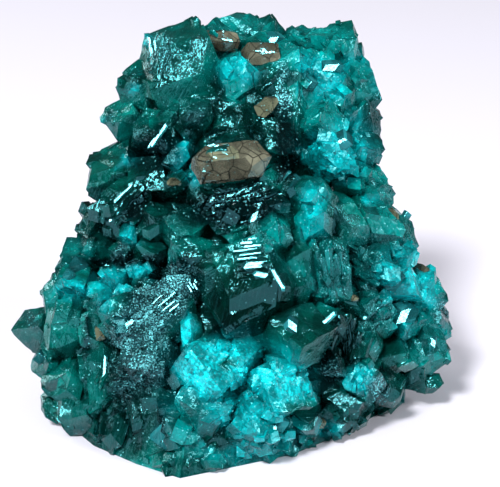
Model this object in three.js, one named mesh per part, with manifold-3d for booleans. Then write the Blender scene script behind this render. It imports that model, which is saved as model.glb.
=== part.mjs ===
// A dioptase specimen: many deep green crystals grown together into one lump, cut flat below.
// Millimetres, +Z up, display side towards -Y, origin under the middle of the lump on the cut face.

import * as THREE from 'three';
import Module from 'manifold-3d';
import { ConvexGeometry } from 'three/addons/geometries/ConvexGeometry.js';
import { mergeVertices } from 'three/addons/utils/BufferGeometryUtils.js';

// Driving dimensions
const VIEW_ELEVATION = 20;      // degrees; the display side leans back and is looked at from above
const VIEW_DISTANCE = 170;      // the display side is laid out as it is seen from this far away
const CUT_HEIGHT = -18.2;       // level of the flat cut, measured from the middle of the display side
const TERMINATION_SLOPE = 1.23; // rise of a rhombohedral end face over its run, 51 degrees from flat
const SHORTEST_TIP = 0.75;      // tip height over that rise where the prism faces vanish
const BLOCK = 0;                // a row's length for such a block, bounded by six rhombs only
const FOOT_HEIGHT = 4.5;        // height of the solid foot above the cut
const FOOT_TAPER = 0.86;        // the foot's top outline over its bottom one
const BELOW_EVERYTHING = 60;    // size of the block that takes away whatever hangs under the cut
const STONE_COLOR = 0x057a70;
const STONE_ROUGHNESS = 0.18;

const DEGREE = Math.PI / 180;
const RING_STEP = 60 * DEGREE;

// One crystal: a six-sided prism closed by three rhombohedral faces at each end, axis along +Y.
// Neighbouring corners of a ring stand at two levels, so that each end face is a flat rhomb.
function crystalPoints(radius, length, flatness) {
  const rise = TERMINATION_SLOPE * radius;
  const tip = Math.max(length / 2, SHORTEST_TIP * rise);
  const points = [new THREE.Vector3(0, tip, 0), new THREE.Vector3(0, -tip, 0)];
  for (let corner = 0; corner < 6; corner += 1) {
    const x = radius * Math.sin(corner * RING_STEP);
    const z = radius * flatness * Math.cos(corner * RING_STEP);
    const isHigh = corner % 2 === 0;
    points.push(new THREE.Vector3(x, tip - rise * (isHigh ? 0.5 : 1), z));
    points.push(new THREE.Vector3(x, -tip + rise * (isHigh ? 1 : 0.5), z));
  }
  return points;
}

// Display axes: x across, y up the display side, z towards the viewer.
// A crystal's row is: across, up, towards, radius, length, lean, tip, roll, flatness.
// Lean turns its axis clockwise from up, tip brings the axis towards the viewer, roll is its own turn.
function placedCrystal([across, up, towards, radius, length, lean, tip, roll, flatness = 1]) {
  const geometry = new ConvexGeometry(crystalPoints(radius, length, flatness));
  const nearness = (VIEW_DISTANCE - towards) / VIEW_DISTANCE;
  const place = new THREE.Matrix4().makeRotationFromEuler(
    new THREE.Euler(tip * DEGREE, roll * DEGREE, -lean * DEGREE, 'ZXY'),
  );
  place.setPosition(across * nearness, up * nearness, towards);
  geometry.applyMatrix4(place);
  return geometry;
}

// The big body masses that the crystals grow from.
const CORE = [
  [-0.5, 10.6, -8, 10.1, 28, 2, -8, 34],
  [-3, -2, -7.5, 12, 27, 90, 0, 10],
  [-2.5, -9, -6.5, 13.6, 36, 88, 4, 0],
  [3, -6, -10, 12.5, 36, 94, -6, 30],
  [-4, -13, -3, 9.3, 25, 100, 10, 15],
  [5.5, -12, -8, 10.9, 25, 60, 0, 20],
];

// Upper left of the display side, from the top crystal down its left edge.
const UPPER_LEFT = [
  [-6.9, 16.9, -2.6, 4.5, 12.4, 12, -12, 28],
  [-10.6, 15.5, -2.0, 2.4, 6.4, 46, 8, 5],
  [-12.2, 12.2, -2.4, 3.0, BLOCK, 6, 4, 18],
  [-9.4, 10.8, 0.0, 2.8, 6.6, 30, 20, 0],
  [-13.0, 6.6, -2.0, 3.6, 8.0, 14, 6, 8],
  [-10.0, 6.4, 0.2, 3.2, BLOCK, 30, 20, 35],
  [-12.4, 3.9, 0.8, 2.8, 6.6, 52, 18, 0, 0.45],
  [-15.3, 2.2, -2.6, 2.8, BLOCK, -28, 8, 25],
  [-14.7, -0.2, -1.4, 2.6, BLOCK, 20, 12, 0],
  [-17.0, -1.4, -3.6, 2.7, BLOCK, 30, 5, 12],
];

// Middle of the display side between the top rim and the dark bands.
const UPPER_MIDDLE = [
  [-3.2, 19.6, -5.2, 3.1, 6.0, 74, -12, 20],
  [-1.2, 16.2, -1.6, 2.7, 7.0, 176, -18, 28],
  [-2.4, 8.0, 2.8, 3.0, 8.2, 80, 6, 32],
  [-2.2, 5.2, 3.0, 2.6, 8.4, 78, 0, 4, 0.42],
  [-0.2, 2.5, 4.0, 2.7, 8.4, 72, 4, 4, 0.38],
];

// Top rim and the right edge of the upper block, which falls away from the viewer.
const UPPER_RIGHT = [
  [-1.4, 20.7, -9.4, 2.7, 7.0, 70, 0, 8],
  [4.9, 19.4, -9.4, 3.0, BLOCK, 70, 6, 10],
  [9.1, 19.7, -9.4, 2.6, 6.0, 22, 6, 20],
  [7.4, 16.7, -5.4, 2.1, 7.0, 132, 16, 0, 0.7],
  [10.2, 15.8, -8.6, 2.6, 8.2, -18, 2, 12],
  [6.6, 11.8, -3.4, 3.3, 6.8, 20, 16, 0],
  [10.8, 11.8, -8.4, 2.4, 7.4, 0, 0, 22],
  [8.0, 8.8, -1.2, 2.6, 5.8, 146, 34, 14],
  [11.0, 9.2, -6.0, 2.9, BLOCK, -28, 12, 0],
  [10.0, 6.0, -4.0, 2.8, BLOCK, 40, 10, 30],
  [11.5, 5.4, -6.6, 2.8, 7.8, -26, 4, 14],
];

// The middle belt: small pale crystals under the dark bands and the fibrous right flank.
const BELT = [
  [-9.4, 2.2, 2.0, 2.2, BLOCK, 64, 16, 0],
  [-6.0, -1.2, 3.6, 2.4, 6.4, 86, 10, 5],
  [6.3, 4.5, 3.6, 2.2, 5.6, 140, 20, 8],
  [9.0, 2.2, 0.6, 2.6, 7.6, -40, 12, 10],
  [11.8, 1.6, -2.8, 3.2, 8.0, -24, 10, 0],
  [13.8, 1.0, -5.6, 2.7, 7.6, -16, 2, 20],
  [11.4, -2.2, 0.2, 2.4, BLOCK, -20, 14, 15],
  [14.4, -1.8, -4.2, 2.9, BLOCK, -34, 10, 5],
];

// The large dark crystal and its neighbours in the middle of the lower block.
const LOWER_MIDDLE = [
  [0.6, -4.0, 5.4, 4.4, 11.2, 4, 28, 27],
  [0.0, -6.4, 4.6, 4.8, 9.6, -2, 8, 30],
  [5.0, -2.6, 4.0, 2.3, 8.0, -4, 14, 20],
  [7.8, -3.2, 3.4, 2.5, 8.2, -6, 18, 0],
  [4.8, -9.4, 6.6, 3.4, 7.6, 76, 16, 8],
];

// Left part of the lower block: pale crystals, the leaning plates and the smooth lumps below.
const LOWER_LEFT = [
  [-13.2, -3.2, 0.6, 2.6, BLOCK, 60, 16, 12],
  [-17.3, -4.0, -0.4, 2.8, BLOCK, 40, 12, 20],
  [-18.7, -5.0, -3.4, 2.8, BLOCK, 4, 4, 10],
  [-18.0, -8.2, -0.4, 2.8, 8.6, 6, 6, 24],
  [-21.0, -8.6, -4.0, 3.0, BLOCK, 24, 8, 0],
  [-19.6, -11.6, -2.6, 2.9, BLOCK, -30, 6, 15],
  [-14.6, -13.2, 1.6, 2.0, 9.0, -4, 2, 10, 0.8],
  [-11.4, -7.8, 4.2, 2.3, 7.4, 50, 14, 4, 0.5],
  [-9.8, -11.4, 4.2, 3.5, 8.0, 38, 16, 14],
  [-18.1, -13.4, -1.2, 3.1, BLOCK, 10, 6, 0],
  [-18.2, -15.8, -2.6, 2.8, BLOCK, -20, 0, 20],
  [-16.6, -16.8, -0.4, 2.9, 6.4, 14, 4, 8],
];

// The thick sugary crust that stands out furthest at the foot of the display side.
const CRUST = [
  [-4.0, -12.6, 6.6, 4.2, 8.4, 84, 10, 25],
  [2.8, -14.6, 6.0, 3.8, 8.4, 100, 10, 28],
  [-4.6, -16.6, 6.4, 3.6, 7.6, 74, 6, 15],
  [0.6, -18.0, 5.6, 3.6, 8.0, 110, 6, 5],
  [5.2, -17.2, 3.4, 3.0, BLOCK, 60, 8, 20],
];

// Right part of the lower block, down to the receding foot.
const LOWER_RIGHT = [
  [7.9, -12.0, 3.8, 1.9, BLOCK, 20, 20, 12],
  [9.4, -16.0, 0.0, 2.8, 7.0, 66, 4, 8],
  [10.8, -9.4, 0.6, 2.9, 6.6, 20, 8, 15],
  [12.4, -6.8, 0.8, 2.2, 6.4, -36, 18, 0, 0.7],
  [15.3, -4.2, -1.2, 2.3, BLOCK, 18, 20, 22],
  [15.4, -7.8, -1.2, 2.2, BLOCK, 80, 18, 10],
  [17.1, -4.9, -5.6, 2.6, 6.4, -18, 6, 5],
  [17.9, -7.6, -6.2, 2.8, BLOCK, 10, 8, 20],
  [17.4, -10.2, -4.6, 2.5, 6.6, -10, 6, 0],
  [16.3, -12.5, -5.6, 2.8, BLOCK, 46, 4, 12],
  [13.4, -14.4, -5.2, 2.2, 5.8, 62, 0, 0],
];

// Back of the upper block.
const BACK_UPPER = [
  [4.4, 15.8, -11.8, 3.5, 8.0, 20, -34, 6],
  [7.4, 14.0, -11.4, 3.1, 7.6, -14, -20, 18],
  [-10.4, 9.8, -7.8, 3.1, 7.8, -20, -10, 14],
  [-6.6, 9.8, -11.6, 3.8, BLOCK, 34, -36, 0],
  [6.0, 8.4, -13.8, 3.8, BLOCK, -30, -40, 12],
  [9.4, 8.0, -10.6, 3.4, 8.0, 24, -24, 8],
  [-12.2, 4.0, -7.8, 3.1, 7.4, 10, -14, 28],
  [-9.2, 3.2, -12.6, 3.9, BLOCK, -34, -30, 16],
  [-3.2, 2.4, -15.8, 4.2, 9.4, 22, -56, 2],
  [4.2, 1.6, -16.2, 4.2, BLOCK, -16, -48, 20],
  [10.0, 1.4, -13.0, 3.6, 8.6, 36, -30, 10],
];

// Back of the lower block, down to the cut.
const BACK_LOWER = [
  [-16.2, -3.4, -8.6, 3.0, 7.4, 20, -16, 6],
  [-13.8, -4.8, -13.4, 3.7, BLOCK, -26, -34, 22],
  [-8.0, -5.4, -16.8, 4.2, 9.4, 30, -52, 12],
  [-0.6, -6.0, -18.4, 4.4, BLOCK, -8, -60, 0],
  [-17.4, -9.6, -7.8, 3.1, 7.4, -14, -10, 16],
  [-15.6, -12.0, -12.6, 3.6, BLOCK, 40, -26, 24],
  [-10.2, -12.8, -17.0, 4.0, 9.0, -20, -40, 8],
  [15.6, -10.0, -9.6, 3.2, 7.4, -12, -12, 18],
];

// The foot's outline on the cut, across and towards, with its square corner nearest the viewer.
const FOOT_OUTLINE = [
  [-7.0, 8.2],
  [4.2, 3.6],
  [9.4, -0.8],
  [14.4, -7.0],
  [13.4, -13.0],
  [4.0, -17.4],
  [-8.0, -17.0],
  [-16.2, -11.0],
  [-18.6, -3.4],
  [-15.6, 1.8],
  [-11.4, 5.4],
];

// Upright space: the display axes turned so that +Z is up and -Y faces the viewer.
const upright = new THREE.Matrix4().makeRotationX((90 - VIEW_ELEVATION) * DEGREE);

// The foot: its outline laid down on the cut, and a smaller copy of it above as its top.
function footGeometry() {
  const towardsToFront = Math.cos(VIEW_ELEVATION * DEGREE);
  const cutToBack = CUT_HEIGHT * Math.tan(VIEW_ELEVATION * DEGREE);
  const points = [];
  for (const [across, towards] of FOOT_OUTLINE) {
    const nearness = (VIEW_DISTANCE - towards) / VIEW_DISTANCE;
    const front = cutToBack - towards / towardsToFront;
    points.push(new THREE.Vector3(across * nearness, front, CUT_HEIGHT));
    points.push(new THREE.Vector3(across * nearness * FOOT_TAPER, front * FOOT_TAPER, CUT_HEIGHT + FOOT_HEIGHT));
  }
  return new ConvexGeometry(points);
}

const wasm = await Module();
wasm.setup();

function toSolid(geometry) {
  const bare = geometry.clone();
  bare.deleteAttribute('normal');
  bare.deleteAttribute('uv');
  const merged = mergeVertices(bare);
  return new wasm.Manifold(new wasm.Mesh({
    numProp: 3,
    vertProperties: new Float32Array(merged.attributes.position.array),
    triVerts: new Uint32Array(merged.index.array),
  }));
}

function toGeometry(solid) {
  const mesh = solid.getMesh();
  const geometry = new THREE.BufferGeometry();
  geometry.setAttribute('position', new THREE.BufferAttribute(new Float32Array(mesh.vertProperties), 3));
  geometry.setIndex(new THREE.BufferAttribute(new Uint32Array(mesh.triVerts), 1));
  return geometry;
}

// All crystals joined in one solid, then everything under the cut taken away.
function clusterGeometry() {
  const rows = [
    ...CORE, ...UPPER_LEFT, ...UPPER_MIDDLE, ...UPPER_RIGHT, ...BELT,
    ...LOWER_MIDDLE, ...LOWER_LEFT, ...CRUST, ...LOWER_RIGHT, ...BACK_UPPER, ...BACK_LOWER,
  ];
  let cluster = toSolid(footGeometry());
  for (const row of rows) {
    cluster = cluster.add(toSolid(placedCrystal(row).applyMatrix4(upright)));
  }
  const underside = new THREE.BoxGeometry(BELOW_EVERYTHING * 2, BELOW_EVERYTHING * 2, BELOW_EVERYTHING);
  underside.translate(0, 0, CUT_HEIGHT - BELOW_EVERYTHING / 2);
  const geometry = toGeometry(cluster.subtract(toSolid(underside)));
  geometry.computeBoundingBox();
  const { min, max } = geometry.boundingBox;
  geometry.translate(-(min.x + max.x) / 2, -(min.y + max.y) / 2, -CUT_HEIGHT);
  geometry.computeVertexNormals();
  return geometry;
}

const stone = new THREE.MeshStandardMaterial({
  color: STONE_COLOR,
  roughness: STONE_ROUGHNESS,
  metalness: 0,
  flatShading: true,
});

const cluster = new THREE.Mesh(clusterGeometry(), stone);
cluster.name = 'dioptase_cluster';

const specimen = new THREE.Group();
specimen.add(cluster);

export default specimen;
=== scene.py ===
"""Dioptase crystal cluster: crystals, growth, finishes, light and camera for the photographed view."""

import sys

import logging
import math
from dataclasses import dataclass, field, replace
from enum import Enum
from functools import partial

import bmesh
import bpy
import numpy as np
from mathutils import Euler, Matrix, Vector
from mathutils.bvhtree import BVHTree


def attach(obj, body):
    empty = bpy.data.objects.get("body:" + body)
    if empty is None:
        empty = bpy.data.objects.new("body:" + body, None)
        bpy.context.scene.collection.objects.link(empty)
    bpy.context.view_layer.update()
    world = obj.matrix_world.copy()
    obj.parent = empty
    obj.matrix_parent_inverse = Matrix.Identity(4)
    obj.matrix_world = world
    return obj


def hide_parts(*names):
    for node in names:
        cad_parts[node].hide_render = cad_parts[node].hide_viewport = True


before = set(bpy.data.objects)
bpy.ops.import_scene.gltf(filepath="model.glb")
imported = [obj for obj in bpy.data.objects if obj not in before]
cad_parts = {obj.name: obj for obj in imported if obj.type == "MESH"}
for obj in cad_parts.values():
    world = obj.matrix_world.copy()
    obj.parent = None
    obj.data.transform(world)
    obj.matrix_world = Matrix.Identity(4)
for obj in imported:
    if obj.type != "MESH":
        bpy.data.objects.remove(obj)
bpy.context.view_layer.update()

LOG = logging.getLogger("dioptase")
MM = 0.001
TINY = 1e-9
ROOT_BODY = "root"
CAD_NODE = "dioptase_cluster"

Row = tuple[float, ...]
Span = tuple[float, float]
Triple = tuple[float, float, float]
Rgba = tuple[float, float, float, float]
Socket = bpy.types.NodeSocket
Tree = bpy.types.NodeTree
Mesh = bpy.types.Mesh
Material = bpy.types.Material


def unit(values: np.ndarray) -> np.ndarray:
    """Returns values held between 0 and 1."""
    return np.clip(values, 0.0, 1.0)


@dataclass(frozen=True)
class DisplayFrame:
    """The display side as it is seen: across, up and towards the viewer, in millimetres."""

    elevation: float = 20.0
    distance: float = 170.0
    centre: Triple = (1.608, -3.79, 18.2)

    def upright(self) -> Matrix:
        """Returns the turn from display axes to part axes."""
        return Matrix.Rotation(math.radians(90.0 - self.elevation), 4, "X")

    def turned(self, heading: Triple | Vector) -> Vector:
        """Returns a heading on the display side as one in the part's frame."""
        return self.upright().to_3x3() @ Vector(heading)

    def nearness(self, towards: float | np.ndarray) -> float | np.ndarray:
        """Returns the scale of a layer that stands nearer to the viewer or further away."""
        return (self.distance - towards) / self.distance

    def place(self, across: float, up: float, towards: float) -> Vector:
        """Gives a point of the part for a place on the display side.

        Args:
            across: Millimetres to the right of the middle, as seen.
            up: Millimetres above the middle, as seen.
            towards: Millimetres from the middle towards the viewer.

        Returns:
            The point in the part's frame, in millimetres.
        """
        near = self.nearness(towards)
        return self.upright() @ Vector((across * near, up * near, towards)) + Vector(self.centre)

    def seen(self, points: np.ndarray) -> np.ndarray:
        """Gives the place on the display side of points of the part.

        Args:
            points: Rows of x, y, z in metres.

        Returns:
            Rows of across, up and towards in millimetres.
        """
        local = (points / MM - np.array(self.centre)) @ np.array(self.upright().to_3x3())
        near = self.nearness(local[:, 2])
        return np.column_stack((local[:, 0] / near, local[:, 1] / near, local[:, 2]))

    def middle(self) -> Vector:
        """Returns the middle of the display side in metres."""
        return Vector(self.centre) * MM

    def eye(self) -> Vector:
        """Returns the viewer's place in metres."""
        return (Vector(self.centre) + self.turned((0.0, 0.0, 1.0)) * self.distance) * MM


DISPLAY = DisplayFrame()
# The amount pale mixes a pale colour into the stone: painted highlight at glints and painted reflection on
# grey facets.
AMOUNTS = ("grain", "sparkle", "lines", "pale", "cracks")
FIRST_AMOUNT = 3
GRAIN_COLUMN = FIRST_AMOUNT + AMOUNTS.index("grain")
PALE_COLUMN = FIRST_AMOUNT + AMOUNTS.index("pale")


@dataclass(frozen=True)
class Look:
    """How a patch of crystal surface looks: colour, and five amounts from 0 for none to about 1."""

    colour: Triple
    grain: float = 0.0
    sparkle: float = 0.0
    lines: float = 0.0
    # Share of the pale colour mixed in, as painted highlight.
    pale: float = 0.0
    cracks: float = 0.0

    def row(self) -> np.ndarray:
        """Returns the colour and the amounts as one row."""
        return np.array((*self.colour, *(getattr(self, name) for name in AMOUNTS)))


class Tone(Enum):
    """The looks that occur on the lump, by name."""

    # NIGHT is near black: painted shade in crevices, grooves and pits between the crystals.
    NIGHT = Look((0.0, 0.006, 0.007), 0.15, 0.4, 0.1)
    INK = Look((0.0, 0.018, 0.013), 0.02, 0.2, 0.35)
    DEEP = Look((0.0, 0.04, 0.033), 0.15, 0.35, 0.5)
    BOTTLE = Look((0.0, 0.085, 0.065), 0.03, 0.2, 0.45)
    TEAL = Look((0.0, 0.155, 0.13), 0.12, 0.35, 0.6)
    SEA = Look((0.0, 0.28, 0.26), 0.3, 0.45, 0.5)
    FIBRE = Look((0.0, 0.19, 0.18), 0.25, 0.6, 1.2)
    CYAN = Look((0.0, 0.6, 0.65), 0.65, 0.5, 0.2)
    SUGAR = Look((0.002, 0.8, 0.86), 0.95, 0.55)
    # GLITTER and LILAC are dark teal, thickly strewn with painted glint specks by their sparkle amount.
    GLITTER = Look((0.002, 0.03, 0.035), 0.3, 1.0, 0.4)
    LILAC = Look((0.008, 0.05, 0.06), 0.4, 1.0, 0.5)
    # GREY is teal with a little pale mixed in: painted grey reflection on its facets.
    GREY = Look((0.01, 0.12, 0.12), 0.1, 0.7, 0.9, 0.15)
    # PALE marks white glints: its plates mirror the main light, and a little painted highlight is mixed
    # into its colour.
    PALE = Look((0.01, 0.2, 0.22), 0.0, 0.0, 0.22, 0.12)
    TAN = Look((0.17, 0.17, 0.12), 0.0, 0.15, 0.0, 0.0, 0.8)
    OCHRE = Look((0.2, 0.22, 0.14), 0.0, 0.15, 0.0, 0.0, 0.6)


# The tones by their bare names, for the zones below.
(
    NIGHT, INK, DEEP, BOTTLE, TEAL, SEA, FIBRE, CYAN, SUGAR, GLITTER, LILAC, GREY, PALE, TAN, OCHRE
) = Tone
PLATE_TONES = (PALE, TAN, OCHRE)


@dataclass(frozen=True)
class Zone:
    """An oval patch of one tone on the display side, in millimetres and degrees anticlockwise."""

    tone: Tone
    across: float
    up: float
    half_width: float
    half_height: float
    turn: float = 0.0
    weight: float = 1.0
    edge: float = 0.3

    def mask(self, seen: np.ndarray) -> np.ndarray:
        """Gives how much of the tone each point takes.

        Args:
            seen: Rows of across, up and towards in millimetres.

        Returns:
            One amount from 0 to 1 for each row.
        """
        angle = math.radians(self.turn)
        right = seen[:, 0] - self.across
        above = seen[:, 1] - self.up
        along = right * math.cos(angle) + above * math.sin(angle)
        over = above * math.cos(angle) - right * math.sin(angle)
        reach = np.hypot(along / self.half_width, over / self.half_height)
        fade = unit((1.0 + self.edge - reach) / (2.0 * self.edge))
        return self.weight * fade * fade * (3.0 - 2.0 * fade)


@dataclass(frozen=True)
class Comb:
    """A narrow patch repeated side by side, each time a little out of place, size and turn."""

    middle: Zone
    count: int
    pitch: float
    unsteady: float = 0.2
    slide: float = 0.35
    lengths: Span = (0.7, 0.3)
    widening: float = 0.35
    turning: float = 3.0
    paces: Triple = (7.3, 3.1, 5.0)

    def zones(self) -> tuple[Zone, ...]:
        """Returns the patches."""
        middle = self.middle
        angle = math.radians(middle.turn)
        made = []
        for index in range(self.count):
            chance = math.sin(self.paces[0] * index + middle.across)
            offset = (index - (self.count - 1) / 2.0 + self.unsteady * chance) * self.pitch
            shift = self.slide * math.sin(self.paces[1] * index + middle.up) * middle.half_width
            widening = 1.0 + self.widening * math.sin(self.paces[2] * index)
            made.append(
                replace(
                    middle,
                    across=middle.across - math.sin(angle) * offset + math.cos(angle) * shift,
                    up=middle.up + math.cos(angle) * offset + math.sin(angle) * shift,
                    half_width=middle.half_width * (self.lengths[0] + self.lengths[1] * chance),
                    half_height=middle.half_height * widening,
                    turn=middle.turn + self.turning * chance,
                )
            )
        return tuple(made)


# Each zone is a tone, across, up, half width, half height and, for some, turn, weight and edge.
UPPER_ZONES: tuple[Zone, ...] = (
    Zone(DEEP, -8.2, 9.6, 4.6, 3.0, 20),
    Zone(NIGHT, -8.4, 10.4, 2.6, 1.3, 40),
    Zone(DEEP, 0.4, 11.8, 3.6, 1.8),
    Zone(INK, -4.6, 14.0, 1.0, 1.9, 10),
    Zone(DEEP, -9.0, 3.4, 3.4, 2.8),
    Zone(DEEP, -15.6, 3.0, 2.4, 2.8),
    Zone(NIGHT, -12.4, 3.9, 2.9, 2.0, 45),
    Zone(CYAN, 9.4, 15.6, 3.4, 4.0, 0, 0.7),
    Zone(CYAN, 9.6, 9.8, 3.4, 3.6, 0, 0.6),
    Zone(SEA, 14.6, 3.6, 3.2, 4.2, 0, 0.8),
    Zone(TEAL, -6.5, 16.6, 3.0, 4.6),
    Zone(GREY, -8.9, 19.0, 1.3, 2.4, 0, 0.8),
    Zone(PALE, -9.8, 19.6, 0.12, 1.2, 12, 0.8),
    Zone(PALE, -9.3, 19.4, 0.08, 1.0, 12, 0.8),
    Zone(DEEP, -10.0, 16.3, 1.4, 1.1),
    Zone(DEEP, -5.2, 11.8, 3.2, 1.6),
    Zone(BOTTLE, -10.7, 15.4, 2.3, 1.5),
    Zone(CYAN, -11.6, 15.4, 0.7, 0.6),
    Zone(TEAL, -12.3, 12.3, 2.3, 2.6),
    Zone(GREY, -14.2, 12.3, 0.4, 2.0, 0, 0.8),
    Zone(BOTTLE, -13.8, 7.0, 3.2, 2.2),
    Zone(CYAN, -12.1, 8.5, 0.9, 0.8),
    Zone(PALE, -12.7, 3.3, 1.8, 0.1, 45, 0.9),
    Zone(PALE, -12.6, 4.9, 1.3, 0.08, 45, 0.8),
    Zone(TEAL, -15.8, 0.0, 1.9, 2.2),
    Zone(SEA, -17.2, -1.0, 1.8, 1.7),
    Zone(PALE, -17.2, -2.6, 0.6, 0.5),
    Zone(PALE, -18.1, -3.5, 0.4, 0.35),
    Zone(SEA, -1.5, 21.8, 2.8, 1.4),
    Zone(SEA, 5.8, 20.0, 4.8, 2.2),
    Zone(PALE, 2.2, 20.0, 1.0, 0.45, 0, 0.8),
    Zone(DEEP, -0.5, 13.2, 4.6, 4.2),
    Zone(TEAL, -2.6, 11.9, 1.6, 1.0),
    Zone(CYAN, -1.3, 17.2, 2.0, 1.8, 0, 0.75),
    Zone(SEA, -1.5, 15.3, 1.0, 1.2),
    Zone(GLITTER, 3.4, 14.3, 0.7, 3.6),
    Zone(CYAN, 7.1, 16.9, 3.0, 1.2, -42),
    Zone(PALE, 5.2, 16.6, 0.4, 0.5),
    Zone(PALE, 5.9, 15.6, 0.6, 0.45),
    Zone(PALE, 8.1, 17.4, 1.1, 0.35),
    Zone(SEA, 10.8, 15.9, 1.4, 2.6),
    Zone(DEEP, 12.2, 12.2, 1.2, 2.9),
    Zone(SEA, 7.5, 12.6, 2.6, 1.9),
    Zone(NIGHT, 3.7, 9.6, 1.5, 3.8),
    Zone(CYAN, 7.9, 8.8, 2.5, 2.3),
    Zone(PALE, 9.0, 10.0, 0.8, 0.5, -30, 0.7),
    Zone(SEA, 12.5, 6.4, 2.1, 2.6),
    Zone(CYAN, 12.3, 4.2, 1.0, 0.7),
    Zone(PALE, 13.4, 7.3, 0.3, 0.3),
    Zone(PALE, 15.6, 2.6, 0.35, 0.3),
    Zone(TAN, -3.4, 20.2, 2.2, 1.1),
    Zone(TAN, 1.2, 18.9, 2.3, 1.2),
    Zone(OCHRE, 1.7, 13.7, 1.3, 0.8, 35),
    Zone(DEEP, -1.6, 10.4, 4.0, 0.9),
    Zone(TAN, -2.4, 8.1, 3.7, 1.9, 8),
    Zone(OCHRE, -2.6, 8.5, 1.9, 1.0, 8, 0.7),
    Zone(CYAN, -5.5, 6.4, 0.6, 1.0),
    Zone(OCHRE, -7.6, 6.1, 0.7, 0.4),
    Zone(CYAN, -7.1, 8.7, 1.1, 1.7, -35),
    Zone(LILAC, -5.4, 12.9, 1.0, 1.2, -30),
    Zone(PALE, -9.0, 10.7, 1.4, 0.12, 57),
    Zone(PALE, -9.6, 10.2, 0.9, 0.07, 57),
    Zone(NIGHT, 0.0, 3.9, 4.6, 2.3),
    Zone(PALE, 3.1, 6.4, 0.9, 0.4, 20),
    Zone(PALE, 4.0, 5.3, 0.7, 0.6, -30),
    Zone(PALE, 0.5, 2.5, 0.75, 0.4, 20),
    Zone(TEAL, -7.6, 0.6, 3.0, 1.5),
    Zone(CYAN, -12.2, 0.9, 0.9, 1.0),
    Zone(LILAC, -12.8, -1.2, 1.0, 1.0),
    Zone(TEAL, -2.2, 0.8, 2.2, 0.9),
    Zone(NIGHT, -3.0, 3.4, 3.6, 2.2, 0, 0.95),
    Zone(SEA, 2.4, 1.1, 1.5, 1.7),
    Zone(CYAN, 6.4, 4.4, 1.5, 1.5, 0, 0.6),
    Zone(CYAN, 6.4, 1.9, 1.4, 1.9, 0, 0.5),
    Zone(PALE, 8.6, 3.1, 0.3, 0.3),
    Zone(TEAL, 11.5, 1.0, 3.5, 2.8),
    Zone(NIGHT, -9.6, 9.0, 2.9, 2.7, 20, 0.85),
    Zone(CYAN, 9.4, 9.4, 3.0, 3.0, 0, 0.6),
    Zone(DEEP, -15.6, 2.8, 3.0, 3.0, 0, 0.9),
    Zone(DEEP, -3.6, 12.6, 3.0, 2.0, 0, 0.6),
    Zone(OCHRE, 14.1, 2.8, 0.8, 0.9, 0, 0.8),
)

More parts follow.
